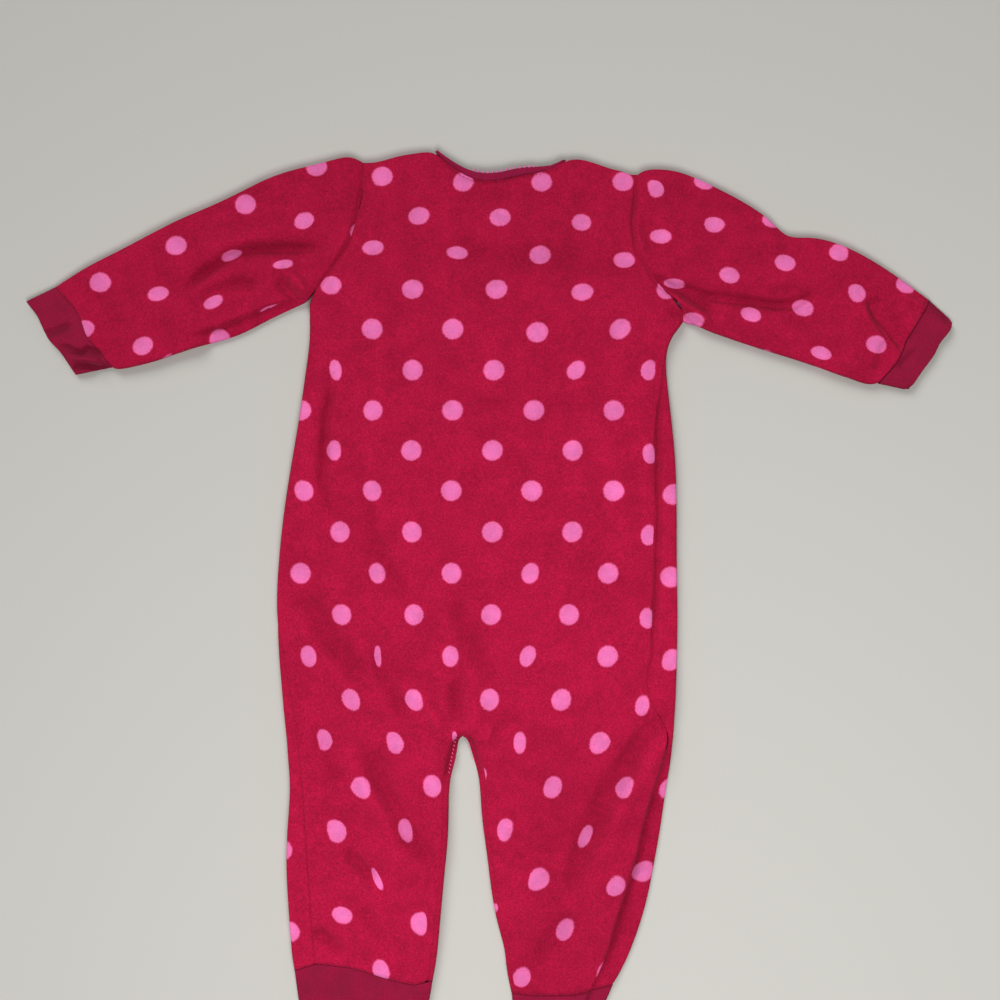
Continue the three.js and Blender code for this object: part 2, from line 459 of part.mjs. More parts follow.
function backPanel() {
  const sheet = new Sheet()
  const table = []
  const leftPart = []
  const rightPart = []
  for (let row = 0; row <= lastRow; row++) {
    const r = rowsOfBody[row]
    const atArm = row <= armholeRow
    // Left end: three columns, round the side or along it to the seam.
    const leftEnd = []
    let leftBase
    if (atArm) {
      leftBase = r.leftX + seamGap / 2 + 3
      for (const k of [3, 2, 1]) leftEnd.push({ x: r.leftX + seamGap / 2 + 3 - k, z: undefined })
    } else {
      const high = upperHeight(r.leftX + foldInset, r.leftY)
      const seam = foldLength(high, fleece / 2) + r.leftSeam + seamGap / 2
      const from = Math.max(foldLength(high, fleece / 2), seam + 3)
      leftBase = r.leftX + foldInset + Math.max(0, from - foldLength(high, fleece / 2))
      for (const k of [3, 2, 1]) {
        leftEnd.push(sideFold(r.leftX, -1, mix(from, seam, k / 3), fleece / 2, upperHeight, r.leftY))
      }
    }
    // Right end: six columns, along to the seam or over and under at the overlap.
    const rightEnd = []
    let rightBase
    if (atArm) {
      rightBase = r.rightX - seamGap / 2 - 5
      for (let k = 1; k <= 6; k++) rightEnd.push({ x: rightBase + (5 * k) / 6, z: undefined })
    } else if (r.foldX === undefined) {
      const high = upperHeight(r.rightX - foldInset, r.rightY)
      const round = foldLength(high, fleece / 2)
      const seam = round + r.rightSeam + seamGap / 2
      const from = Math.max(round, seam + 5)
      rightBase = r.rightX - foldInset - Math.max(0, from - round)
      for (let k = 1; k <= 6; k++) {
        const p = sideFold(r.rightX, 1, mix(from, seam, k / 6), fleece / 2, upperHeight, r.rightY)
        rightEnd.push(p.x < r.rightX - foldInset ? { x: p.x, z: undefined, stand: p.stand } : p)
      }
    } else {
      const turn = (r.turn * Math.PI) / 180
      const x0 = r.foldX - fleece / 2 - overlapRadius
      rightBase = x0
      for (let k = 1; k <= 4; k++) {
        const a = (turn * k) / 4
        rightEnd.push({
          x: x0 + overlapRadius * Math.sin(a),
          z: overlapHeight - overlapRadius * (1 - Math.cos(a)),
        })
      }
      const last = rightEnd[3]
      for (const k of [0.5, 1]) {
        rightEnd.push({ x: last.x + r.under * k * Math.cos(turn), z: last.z - r.under * k * Math.sin(turn) })
      }
    }
    const line = []
    const place = (p, z) => sheet.point(p.x, p.y, z ?? backZ(row, p.x, p.y))
    const turnEdge = (n, p) => {
      if (atArm) sheet.stand(n, 0, 0, 1)
      else if (p.stand && r.foldX === undefined) sheet.stand(n, ...p.stand)
    }
    if (row <= crotchRow) {
      const first = bodyPoint(row, 0, leftBase, rightBase, false)
      for (const p of leftEnd) line.push(place({ x: p.x, y: first.y }, p.z))
      for (let c = 0; c <= 2 * halfColumns; c++) line.push(place(bodyPoint(row, c, leftBase, rightBase, false)))
      const final = bodyPoint(row, 2 * halfColumns, leftBase, rightBase, false)
      for (const p of rightEnd) line.push(place({ x: p.x, y: final.y }, p.z))
      turnEdge(line[0], leftEnd[0])
      turnEdge(line[line.length - 1], rightEnd[5])
      leftPart.push(line)
      rightPart.push(line)
      table.push(line)
      continue
    }
    const wrap = innerRows[row - crotchRow].wrap + seamGap
    const innerLeft = innerPoint(row, "left", foldInset + wrap)
    const innerRight = innerPoint(row, "right", foldInset + wrap)
    const total = 2 * halfColumns
    const left = []
    const right = []
    for (const p of leftEnd) {
      const q = legPoint(row, "left", 0, p.x, innerLeft, r.leftY)
      left.push(place(q, p.z))
    }
    for (let c = 0; c <= halfColumns; c++) left.push(place(legPoint(row, "left", c / halfColumns, leftBase, innerLeft, r.leftY)))
    for (let c = halfColumns; c <= total; c++) {
      right.push(place(legPoint(row, "right", (total - c) / halfColumns, rightBase, innerRight, r.rightY)))
    }
    for (const p of rightEnd) right.push(place(legPoint(row, "right", 0, p.x, innerRight, r.rightY), p.z))
    turnEdge(left[0], leftEnd[0])
    if (row === lastRow) for (const n of [...left, ...right]) sheet.square(n, 0, 1)
    leftPart.push(left)
    rightPart.push(right)
  }
  // The rows above the shoulders' base line fold over; at the neck they run on to the band.
  const top = [[], []]
  const columns = 2 * halfColumns
  for (let k = 0; k < 2; k++) {
    const turn = (k + 1) * 39
    const a = (turn * Math.PI) / 180
    table[0].forEach((n, j) => {
      const column = Math.min(columns, Math.max(0, j - 3))
      const edge = topEdge(column, false)
      const p = sheet.points[n]
      const half = (p.z - fleece / 2) / 2
      const flatY = p.y + ((foldInset - 0.3 - seamGap / 2) * (k + 1)) / 2
      const y = mix(flatY, p.y + foldSwing * Math.sin(a), edge.shoulder)
      const z = mix(p.z, p.z - half * (1 - Math.cos(a)), edge.shoulder)
      const id = sheet.point(p.x, y, z)
      const atEdge = k === 1 || j === 0 || j === table[0].length - 1
      if (atEdge) sheet.stand(id, 0, edge.shoulder * Math.sin(a), 1 - edge.shoulder + edge.shoulder * Math.cos(a))
      top[1 - k].push(id)
    })
  }
  const upper = [...top, ...table]
  sheet.grid(upper)
  const leftCount = 3 + halfColumns + 1
  const above = table[crotchRow]
  sheet.grid([above.slice(0, leftCount), ...leftPart.slice(crotchRow + 1)])
  sheet.grid([above.slice(leftCount - 1), ...rightPart.slice(crotchRow + 1)])
  return sheet.solid(fleece)
}

// Half of the front, from its side seam under the garment to the zip and the inner leg.
function frontHalf(leg) {
  const sheet = new Sheet()
  const way = leg === "left" ? -1 : 1
  const low = fleece / 2
  const rows = []
  for (let row = 0; row <= lastRow; row++) {
    const r = rowsOfBody[row]
    const edge = leg === "left" ? r.leftX : r.rightX
    const edgeY = leg === "left" ? r.leftY : r.rightY
    const atArm = row <= armholeRow
    const tucked = leg === "right" && row > crotchRow - 2
    const settle = ease((row - crotchRow + 2) / 4)
    const high = tucked ? (x, y) => mix(upperHeight(x, y), tuckedHeight, settle) : upperHeight
    const base = atArm ? edge - way * (seamGap / 2 + 5) : edge - way * foldInset
    const end = []
    if (atArm) {
      for (let k = 1; k <= 6; k++) end.push({ x: base + (way * 5 * k) / 6, z: low })
    } else {
      const round = foldLength(high(base, edgeY), low)
      const past = leg === "left" ? r.leftSeam : r.strip ?? r.rightSeam
      const seam = round + past - seamGap / 2
      const travels = []
      if (seam > round + 0.6) {
        for (let k = 1; k <= 4; k++) travels.push((round * k) / 4)
        travels.push(mix(round, seam, 0.5), seam)
      } else for (let k = 1; k <= 6; k++) travels.push((seam * k) / 6)
      for (const t of travels) end.push(sideFold(edge, way, t, low, high, edgeY))
    }
    const total = 2 * halfColumns
    const columnAt = (c) => (leg === "left" ? c : total - c)
    const line = []
    if (row <= crotchRow) {
      const left = leg === "left" ? base : 0
      const right = leg === "right" ? base : 0
      const first = bodyPoint(row, columnAt(0), left, right, true)
      for (const p of [...end].reverse()) line.push(sheet.point(p.x, first.y, p.z))
      if (atArm) sheet.stand(line[0], 0, 0, 1)
      else if (end[5].stand) sheet.stand(line[0], ...end[5].stand)
      const gap = row <= zipLastRow ? zipHalfGap : seamGap / 2
      for (let c = 0; c <= halfColumns; c++) {
        const p = bodyPoint(row, columnAt(c), left, right, true)
        const inward = c / halfColumns
        line.push(sheet.point(p.x + way * gap * inward, p.y, low))
      }
    } else {
      const inner = innerPoint(row, leg, foldInset)
      for (const p of [...end].reverse()) {
        const q = legPoint(row, leg, 0, p.x, inner, edgeY)
        line.push(sheet.point(q.x, q.y, p.z))
      }
      sheet.stand(line[0], 0, 0, 1)
      for (let c = 0; c <= halfColumns; c++) {
        const q = legPoint(row, leg, c / halfColumns, base, inner, edgeY)
        line.push(sheet.point(q.x, q.y, low))
      }
    }
    // The inner leg folds over from the top of the gap down.
    if (row >= crotchRow) {
      const n = innerRows[row - crotchRow]
      const out = leg === "left" ? { x: n.leftOutX, y: n.leftOutY } : { x: n.rightOutX, y: n.rightOutY }
      const from = sheet.points[line[line.length - 1]]
      const top = upperHeight(from.x - out.x * 3, from.y)
      const half = (top - low) / 2
      const shift = row === crotchRow ? (way * seamGap) / 2 : 0
      const y0 = row === crotchRow ? innerPoint(row, leg, foldInset).y : from.y
      for (let k = 1; k <= foldSteps; k++) {
        const a = (Math.PI * k) / foldSteps
        const swing = foldSwing * Math.sin(a)
        const x = row === crotchRow ? innerRows[0].leftX + shift + out.x * swing : from.x + out.x * swing
        let y = y0 + out.y * swing
        if (row === lastRow) y = Math.max(y, curveY(leg === "left" ? leftAnkle : rightAnkle, x) + seamGap / 2)
        line.push(sheet.point(x, y, low + half * (1 - Math.cos(a))))
      }
      const last = sheet.points[line[line.length - 1]]
      const run = n.wrap
      const y = row === lastRow ? last.y : last.y - out.y * run
      line.push(sheet.point(last.x - out.x * run, y, upperHeight(last.x, last.y)))
      if (row === crotchRow) for (const id of line.slice(-foldSteps - 2)) sheet.square(id, 1, 0)
    }
    if (row === lastRow) for (const id of line) sheet.square(id, 0, 1)
    rows.push(line)
  }
  const above = [[], []]
  for (let k = 0; k < 2; k++) {
    const a = ((k + 1) * 39 * Math.PI) / 180
    rows[0].forEach((n, j) => {
      const c = Math.max(0, j - 6)
      const edge = topEdge(leg === "left" ? c : 2 * halfColumns - c, true)
      const p = sheet.points[n]
      const half = (upperHeight(p.x, p.y) - low) / 2
      const flatY = p.y + ((foldInset - 0.3 - seamGap / 2) * (k + 1)) / 2
      const y = mix(flatY, p.y + foldSwing * Math.sin(a), edge.shoulder)
      const id = sheet.point(p.x, y, low + half * (1 - Math.cos(a)) * edge.shoulder)
      const atEdge = k === 1 || j === 0
      if (atEdge) sheet.stand(id, 0, -edge.shoulder * Math.sin(a), 1 - edge.shoulder + edge.shoulder * Math.cos(a))
      above[1 - k].push(id)
    })
  }
  const table = [...above, ...rows]
  const width = Math.max(...table.map((line) => line.length))
  for (const line of table) while (line.length < width) line.push(undefined)
  sheet.grid(table)
  return sheet.solid(fleece)
}

// A flattened tube. Each station gives the base points of its two folded edges, the heights of
// its two cloths, and where a share of the way across lies.
function tube(stations, across, wall) {
  const sheet = new Sheet()
  const rings = stations.map((s) => {
    const ring = []
    const put = (p, z) => ring.push(sheet.point(p.x, p.y, z))
    const top = s.across(0)
    const bottom = s.across(1)
    const reach = Math.hypot(top.x - bottom.x, top.y - bottom.y)
    const out = { x: (top.x - bottom.x) / reach, y: (top.y - bottom.y) / reach }
    const fold = (base, sign, from, to) => {
      const way = sign > 0 && s.topOut ? s.topOut : out
      for (let k = 1; k < foldSteps; k++) {
        const a = (Math.PI * k) / foldSteps
        const swing = s.swing * Math.sin(a) * sign
        const x = base.x + way.x * swing
        put({ x, y: s.seamY ? s.seamY(x) : base.y + way.y * swing }, mix(from, to, (1 - Math.cos(a)) / 2))
      }
    }
    for (let k = 0; k <= across; k++) {
      const p = s.across(k / across)
      put(p, s.high(p.x, p.y))
    }
    fold(bottom, -1, s.high(bottom.x, bottom.y), s.low)
    for (let k = across; k >= 0; k--) put(s.across(k / across), s.low)
    fold(top, 1, s.low, s.high(top.x, top.y))
    if (s.end) {
      ring.forEach((n, k) => {
        const flat = k <= across || (k >= across + foldSteps && k <= 2 * across + foldSteps)
        if (flat) sheet.stand(n, 0, 0, 1)
        else sheet.square(n, -out.y, out.x)
      })
    }
    return ring
  })
  sheet.grid(rings, true)
  return sheet.solid(wall)
}

// A line of points, shortened at both ends by the folded edge's inset.
function insetLine(points, inset) {
  const first = points[0]
  const last = points[points.length - 1]
  const long = Math.hypot(last.x - first.x, last.y - first.y)
  const share = inset / long
  return (t) => along(points, mix(share, 1 - share, t))
}

function sleeve(side) {
  const way = side === "left" ? -1 : 1
  const rows = side === "left" ? leftSleeveRows : rightSleeveRows
  const wrist = side === "left" ? leftWristSeam : rightWristSeam
  const armhole = torsoRows.slice(0, armholeRow + 1).map((r, i) => {
    const left = side === "left"
    const y = left ? r.leftY : r.rightY
    const x = left ? r.leftX : r.rightX
    const column = left ? 0 : 2 * halfColumns
    const level = left ? torsoRows[0].leftY : torsoRows[0].rightY
    return { x: x + way * (seamGap / 2 + 0.25), y: y + (topEdge(column, false).y - level) * topShare(i) }
  })
  const corners = (t) => {
    const at = t * armholeRow
    const k = Math.min(armholeRow - 1, Math.floor(at))
    return { x: mix(armhole[k].x, armhole[k + 1].x, at - k), y: mix(armhole[k].y, armhole[k + 1].y, at - k) }
  }
  const seamX = (wrist[0].x + wrist[wrist.length - 1].x) / 2
  const wristLine = insetLine(wrist, foldInset)
  const count = rows.length
  const stations = [
    { swing: foldSwing, low: fleece / 2, high: upperHeight, across: corners, topOut: { x: 0, y: 1 }, end: true },
  ]
  rows.forEach((r, i) => {
    const line = insetLine([{ x: r.topX, y: r.topY }, { x: r.lowX, y: r.lowY }], foldInset)
    const nearBody = [0.55, 0.25, 0.08][i] ?? 0
    const nearWrist = [1, 0.62, 0.34, 0.14][count - 1 - i] ?? 0
    stations.push({
      end: i === count - 1,
      swing: foldSwing,
      low: fleece / 2,
      high: upperHeight,
      across: (t) => {
        const p = line(t)
        const body = corners(t)
        const chordBody = { x: mix(corners(0).x, corners(1).x, t), y: mix(corners(0).y, corners(1).y, t) }
        const end = wristLine(t)
        const chord = { x: mix(wristLine(0).x, wristLine(1).x, t), y: mix(wristLine(0).y, wristLine(1).y, t) }
        return {
          x: p.x + (body.x - chordBody.x) * nearBody + (end.x - chord.x) * nearWrist,
          y: p.y + (body.y - chordBody.y) * nearBody + (end.y - chord.y) * nearWrist,
        }
      },
    })
  })
  return tube(stations, 2 * armholeRow, fleece)
}

function wristCuff(side) {
  const way = side === "left" ? -1 : 1
  const from = side === "left" ? leftWristSeam : rightWristSeam
  const to = side === "left" ? leftWristEnd : rightWristEnd
  const inset = foldInset
  const start = insetLine(from, inset)
  const finish = insetLine(to, inset)
  const low = rib / 2
  const stations = [0, 0.3, 0.65, 1].map((share) => ({
    end: share === 0,
    swing: foldSwing + (fleece - rib) / 2,
    low,
    high: (x, y) => Math.max(low + rib + 0.4, upperHeight(x, y) - 0.5),
    across: (t) => {
      const a = start(t)
      const b = finish(t)
      const gap = share === 0 ? seamGap : 0
      return { x: mix(a.x + way * gap, b.x, share), y: mix(a.y - gap * 0.5, b.y, share) }
    },
  }))
  return tube(stations, 10, rib)
}

function leftAnkleCuff() {
  const low = rib / 2
  const first = leftAnkle[0]
  const last = leftAnkle[leftAnkle.length - 1]
  const corners = leftAnkle.slice(1, -1)
  const seamY = (x) => curveY(leftAnkle, x) - seamGap
  const stations = [0, 0.3, 0.65, 1].map((share) => ({
    end: share === 0,
    seamY: share === 0 ? seamY : undefined,
    swing: foldSwing + (fleece - rib) / 2,
    low,
    high: (x, y) => Math.max(low + rib + 0.4, upperHeight(x, y) - 0.5),
    across: (t) => {
      const spacing = (last.x - first.x - 2 * foldInset) / 12
      const even = mix(first.x + foldInset, last.x - foldInset, t)
      const seamX = t > 0 && t < 1 ? snapped(even, corners, spacing) : even
      const taper = 4 * share
      const x = seamX + mix(taper, -taper * 1.2, t)
      const wave = curveY(leftAnkle, seamX)
      return { x, y: mix(wave, -310, 0.35 * share) - seamGap - ankleCuffLength * share }
    },
  }))
  return tube(stations, 12, rib)
}

// The right ankle's cuff is folded with the leg: its rib runs across below, back as a strip,
// under the overlap, and across again on top.
function rightAnkleCuff() {
  const sheet = new Sheet()
  const end = rowsOfBody[lastRow]
  const inner = innerRows[lastRow - crotchRow]
  const heights = { below: rib / 2, strip: rib * 1.5 + seamGap, under: rib * 2.5 + 2 * seamGap, over: rib * 3.5 + 3 * seamGap }
  const rings = [0, 0.3, 0.65, 1].map((share) => {
    const innerX = inner.rightX + foldInset + 3 * share
    const outerX = end.rightX - foldInset - 13 * share
    const overX = end.foldX - fleece / 2 - overlapRadius - 12 * share
    const tuckX = end.foldX - 10 - 11 * share
    const ring = []
    const put = (x, z) => {
      const wave = curveY(rightAnkle, mix(inner.rightX, end.rightX, (x - innerX + foldInset) / (outerX - innerX + 2 * foldInset)))
      ring.push(sheet.point(x, mix(wave, -322, 0.35 * share) - seamGap * 0.75 - ankleCuffLength * share, z))
    }
    const run = (from, to, steps, z) => {
      for (let k = 0; k <= steps; k++) {
        const even = mix(from, to, k / steps)
        const inside = k > 0 && k < steps && share === 0
        const x = inside ? snapped(even, rightAnkle.slice(1, -1), Math.abs(to - from) / steps) : even
        put(x, typeof z === "function" ? z(x) : z)
      }
    }
    const turn = (x, way, from, to, swing) => {
      for (let k = 1; k < foldSteps; k++) {
        const a = (Math.PI * k) / foldSteps
        put(x + way * swing * Math.sin(a), mix(from, to, (1 - Math.cos(a)) / 2))
      }
    }
    const slope = (x) => mix(backHeight - 0.5, heights.over, 1 - ease((overX - x - 8) / 26))
    const narrow = (heights.strip - heights.below) / 2
    run(innerX, outerX, 9, heights.below)
    turn(outerX, 1, heights.below, heights.strip, foldSwing)
    run(outerX, tuckX, 3, heights.strip)
    turn(tuckX, -1, heights.strip, heights.under, narrow)
    run(tuckX, overX, 2, heights.under)
    turn(overX, 1, heights.under, heights.over, narrow)
    run(overX, innerX, 8, slope)
    turn(innerX, -1, slope(innerX), heights.below, foldSwing)
    if (share === 0) for (const n of ring) sheet.square(n, 0, 1)
    return ring
  })
  sheet.grid(rings, true)
  return sheet.solid(rib)
}

// The neckband runs from the zip round the front, over at each side of the neck, and across the back.
function neckband() {
  const sheet = new Sheet()
  const low = rib / 2
  const rings = [[], [], []]
  const centre = { x: (neckLeft.x + neckRight.x) / 2, y: 330 }
  const put = (seam, outX, outY, z) => {
    for (let k = 0; k < 3; k++) {
      rings[k].push(sheet.point(seam.x + (outX * k) / 2, seam.y + (outY * k) / 2, z))
    }
  }
  const chordAt = (u) => mix(neckLeft.y, neckRight.y, (u + 1) / 2)
  const half = (neckRight.x - neckLeft.x) / 2
  const frontAt = (u) => ({ x: neckLeft.x + half * (u + 1), y: chordAt(u) - frontNeckDrop * (1 - u * u) + seamGap })
  const steps = 9
  const zip = zipHalfGap / half
  const across = (u, seam, width, z) => {
    const slope = (2 * frontNeckDrop * u) / half
    const long = Math.hypot(slope, 1)
    put(seam, (-slope / long) * width, width / long, z)
  }
  for (let k = 0; k <= steps; k++) {
    const u = mix(zip, 0.955, k / steps)
    across(u, frontAt(u), neckbandWidth, low)
  }
  const high = (x, y) => upperHeight(x, y) - 0.2
  const corner = (point, way) => {
    const z = high(point.x, point.y)
    return [0.2, 0.5, 0.8].map((t) => ({
      seam: { x: point.x - way * (1.4 - Math.sin(Math.PI * t)), y: point.y + 0.9 + 0.6 * Math.sin(Math.PI * t) },
      z: mix(low, z, (1 - Math.cos(Math.PI * t)) / 2),
    }))
  }
  const neckColumns = []
  for (let c = halfColumns / 2; c <= (3 * halfColumns) / 2; c++) {
    const p = topEdge(c, false)
    neckColumns.push({ x: p.x, y: p.y + foldInset - 0.3 + seamGap })
  }
  for (const c of corner(neckRight, 1)) put(c.seam, -2.6, 2.2, c.z)
  const backSteps = 20
  for (let k = 0; k <= backSteps; k++) {
    const x = mix(neckRight.x - 2, neckLeft.x + 2, k / backSteps)
    const u = (x - centre.x) / half
    const width = neckbandWidth - 2.6 * u * u
    const y = curveY(neckColumns, x) + 0.6 * Math.abs(u) ** 6
    put({ x, y }, -u * 1.6, width, high(x, y))
  }
  for (const c of corner(neckLeft, -1).reverse()) put(c.seam, 2.6, 2.2, c.z)
  for (let k = steps; k >= 0; k--) {
    const u = -mix(zip, 0.955, k / steps)
    across(u, frontAt(u), neckbandWidth, low)
  }
  sheet.grid(rings)
  return sheet.solid(rib)
}

function zipTape() {
  const sheet = new Sheet()
  const rows = []
  for (let row = 0; row <= zipLastRow; row++) {
    const p = bodyPoint(row, halfColumns, 0, 0, true)
    rows.push([-1, -0.2, 0.2, 1].map((s) => sheet.point(p.x + s * (zipHalfGap - seamGap), p.y, 1.5)))
  }
  // The tape narrows to its end, where the two halves of the front meet.
  const above = bodyPoint(zipLastRow, halfColumns, 0, 0, true)
  const below = bodyPoint(zipLastRow + 1, halfColumns, 0, 0, true)
  const end = { x: mix(above.x, below.x, 0.75), y: mix(above.y, below.y, 0.75) }
  rows.push([-1, -0.2, 0.2, 1].map((s) => sheet.point(end.x + s * (zipHalfGap / 4 - seamGap), end.y, 1.5)))
  sheet.grid(rows)
  return sheet.solid(1)
}

function zipSlider() {
  const top = bodyPoint(0, halfColumns, 0, 0, true)
  const shape = new THREE.Shape()
  const x = top.x
  const y = top.y + 0.8
  shape.moveTo(x - 2.9, y + 7.4)
  shape.lineTo(x - 2.4, y)
  shape.lineTo(x + 2.4, y)
  shape.lineTo(x + 2.9, y + 7.4)
  shape.lineTo(x + 2.2, y + 8.4)
  shape.lineTo(x - 2.2, y + 8.4)
  shape.closePath()
  return new THREE.ExtrudeGeometry(shape, { depth: 2.4, bevelEnabled: false })
}

const pieces = [
  ["back", backPanel(), 0xae173b],
  ["front_left", frontHalf("left"), 0xa91638],
  ["front_right", frontHalf("right"), 0xa91638],
  ["sleeve_left", sleeve("left"), 0xae173b],
  ["sleeve_right", sleeve("right"), 0xae173b],
  ["cuff_wrist_left", wristCuff("left"), 0x801636],
  ["cuff_wrist_right", wristCuff("right"), 0x801636],
  ["cuff_ankle_left", leftAnkleCuff(), 0x801636],
  ["cuff_ankle_right", rightAnkleCuff(), 0x801636],
  ["neckband", neckband(), 0x801636],
  ["zip_tape", zipTape(), 0x801636],
  ["zip_slider", zipSlider(), 0xb0b0b4],
]

// The row's origin is under the middle of the whole garment.
const bounds = new THREE.Box3()
for (const [, geometry] of pieces) {
  geometry.computeBoundingBox()
  bounds.union(geometry.boundingBox)
}
const middle = bounds.getCenter(new THREE.Vector3())

const group = new THREE.Group()
for (const [name, geometry, colour] of pieces) {
  geometry.translate(-middle.x, -middle.y, 0)
  const mesh = new THREE.Mesh(geometry, new THREE.MeshStandardMaterial({ color: colour, roughness: 0.95 }))
  mesh.name = name
  group.add(mesh)
}

export default group
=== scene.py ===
# %% [markdown]
# # A fleece onesie pajama, laid flat with its back up
#
# The real one is sewn from brushed polyester fleece with printed dots. A back, two front halves with
# a zip between them and two sleeves make the body. Knitted cuffs close the wrists and ankles, and a
# narrow knitted band with a scalloped edge goes round the neck.
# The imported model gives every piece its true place. This script dresses each cloth solid with a finer
# copy of itself, adds the soft creases, the sewing and the zip, and paints the fabrics.

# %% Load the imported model
import math
import bmesh
import bpy
import numpy as np
from mathutils import Matrix, Vector, noise
from mathutils.bvhtree import BVHTree


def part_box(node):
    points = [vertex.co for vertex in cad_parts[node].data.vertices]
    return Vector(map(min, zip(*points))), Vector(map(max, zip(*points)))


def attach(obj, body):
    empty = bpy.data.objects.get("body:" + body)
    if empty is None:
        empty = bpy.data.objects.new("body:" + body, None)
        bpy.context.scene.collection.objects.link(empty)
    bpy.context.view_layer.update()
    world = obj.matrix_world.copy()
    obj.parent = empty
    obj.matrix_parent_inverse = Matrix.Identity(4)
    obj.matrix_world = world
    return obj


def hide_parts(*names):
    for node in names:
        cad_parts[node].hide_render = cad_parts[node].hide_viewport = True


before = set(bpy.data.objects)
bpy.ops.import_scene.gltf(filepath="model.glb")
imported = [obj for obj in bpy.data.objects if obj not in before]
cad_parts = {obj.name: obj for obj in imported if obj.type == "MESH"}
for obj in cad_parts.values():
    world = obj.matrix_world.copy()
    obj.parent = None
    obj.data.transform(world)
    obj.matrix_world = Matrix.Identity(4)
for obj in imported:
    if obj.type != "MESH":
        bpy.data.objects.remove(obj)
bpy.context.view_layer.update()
mm = 0.001

# %% [markdown]
# ## Colours
#
# A colour picked from cloth is an sRGB hex value. Blender's shaders work with linear light, so
# one function turns each hex value to linear. The standard view keeps a lit colour near its hex value.
# Three more short functions put an object in the scene and open or close a mesh for work on it.

# %% Colours from hex values, objects and meshes
def linear(code):
    parts = [int(code[place:place + 2], 16) / 255 for place in (0, 2, 4)]
    return [part / 12.92 if part <= 0.04045 else ((part + 0.055) / 1.055) ** 2.4 for part in parts] + [1]


def put_in_scene(name, data):
    thing = bpy.data.objects.new(name, data)
    bpy.context.collection.objects.link(thing)
    return thing


def mesh_from(work, name):
    mesh = bpy.data.meshes.new(name)
    work.to_mesh(mesh)
    work.free()
    return mesh


def work_on(mesh):
    work = bmesh.new()
    work.from_mesh(mesh)
    return work


bpy.context.scene.view_settings.view_transform = "Standard"
print("fleece red in linear light", [round(part, 3) for part in linear("AE1640")])

# %% [markdown]
# ## Camera
#
# The garment lies on the ground and is seen from straight above, so the camera looks down the Z axis
# with the neck towards the top of the picture. A lens that is long for its distance keeps the sleeves
# and the legs from spreading at the frame's sides, as a person standing over the cloth sees them.

# %% Camera straight above
lens = bpy.data.cameras.new("view_from_above")
lens.lens = 72
lens.sensor_width = 36
lens.dof.use_dof = False
camera = put_in_scene("view_from_above", lens)
camera.location = (7.95 * mm, 70.5 * mm, 1.605)
bpy.context.scene.camera = camera
print("frame width on the cloth", round(camera.location.z * lens.sensor_width / lens.lens, 3), "m")

# %% [markdown]
# ## Nodes for materials
#
# Every material below is a small net of nodes. The first function adds a node, sets its properties and
# its inputs, and links those inputs that are given as another node's output. The others are the nodes
# that come up most: a range mapped to another, a sum, a scaled or blended colour, cloudy noise, and the
# surface with its relief.

# %% Add a node with its settings and links
def add_node(tree, kind, settings=None, inputs=None):
    node = tree.nodes.new("ShaderNode" + kind)
    for name, value in (settings or {}).items():
        setattr(node, name, value)
    for name, value in (inputs or {}).items():
        socket = node.inputs[name]
        if isinstance(value, bpy.types.NodeSocket):
            tree.links.new(value, socket)
        else:
            socket.default_value = value
    return node


def new_material(name):
    material = bpy.data.materials.new(name)
    material.use_nodes = True
    tree = material.node_tree
    tree.nodes.clear()
    return material, tree, add_node(tree, "TexCoord").outputs["Object"]


def mapped(tree, value, start, end, low=0, high=1, kind="LINEAR"):
    return add_node(tree, "MapRange", {"interpolation_type": kind}, {
        "Value": value, "From Min": start, "From Max": end, "To Min": low, "To Max": high}).outputs[0]


def smoothly(tree, value, start, end, low=0, high=1):
    return mapped(tree, value, start, end, low, high, "SMOOTHSTEP")


def worked_out(tree, operation, *values):
    return add_node(tree, "Math", {"operation": operation}, dict(enumerate(values))).outputs[0]


def on_vector(tree, operation, *values):
    return add_node(tree, "VectorMath", {"operation": operation}, dict(enumerate(values)))


def scaled(tree, colour, share):
    inputs = {0: colour, "Scale": share}
    return add_node(tree, "VectorMath", {"operation": "SCALE"}, inputs).outputs[0]


def blended(tree, share, first, second):
    return add_node(tree, "Mix", {"data_type": "RGBA"}, {
        "Factor": share, "A": first, "B": second}).outputs["Result"]


def clouds(tree, where, scale, detail, roughness=0.5):
    return add_node(tree, "TexNoise", {}, {
        "Vector": where, "Scale": scale, "Detail": detail, "Roughness": roughness}).outputs["Fac"]


def finish_material(tree, looks, height=None, strength=0, depth=0):
    if height is not None:
        bump = add_node(tree, "Bump", {}, {
            "Strength": strength, "Distance": depth * mm, "Height": height})
        looks["Normal"] = bump.outputs[0]
    shader = add_node(tree, "BsdfPrincipled", {}, looks)
    add_node(tree, "OutputMaterial", {}, {"Surface": shader.outputs[0]})


print("node helpers ready")

# %% [markdown]
# ## Floor and light
#
# A plain pale floor just under the cloth catches its soft shadow. A broad window far off beyond the
# neck gives each crease a lit and a shaded side. A lamp almost overhead, a little towards the legs,
# fills the middle and fades outwards, and a pale sky gives the even light of a bright room.

# %% Floor
work = bmesh.new()
bmesh.ops.create_grid(work, x_segments=1, y_segments=1, size=6)
bmesh.ops.translate(work, verts=work.verts, vec=(0, 0, -0.0004))
floor_mesh = mesh_from(work, "floor")
floor = put_in_scene("floor", floor_mesh)
paint, tree, _ = new_material("pale_floor")
finish_material(tree, {"Base Color": linear("BAB8B2"), "Roughness": 0.9, "Specular IOR Level": 0.2})
floor_mesh.materials.append(paint)
print("floor at", floor_mesh.vertices[0].co.z)

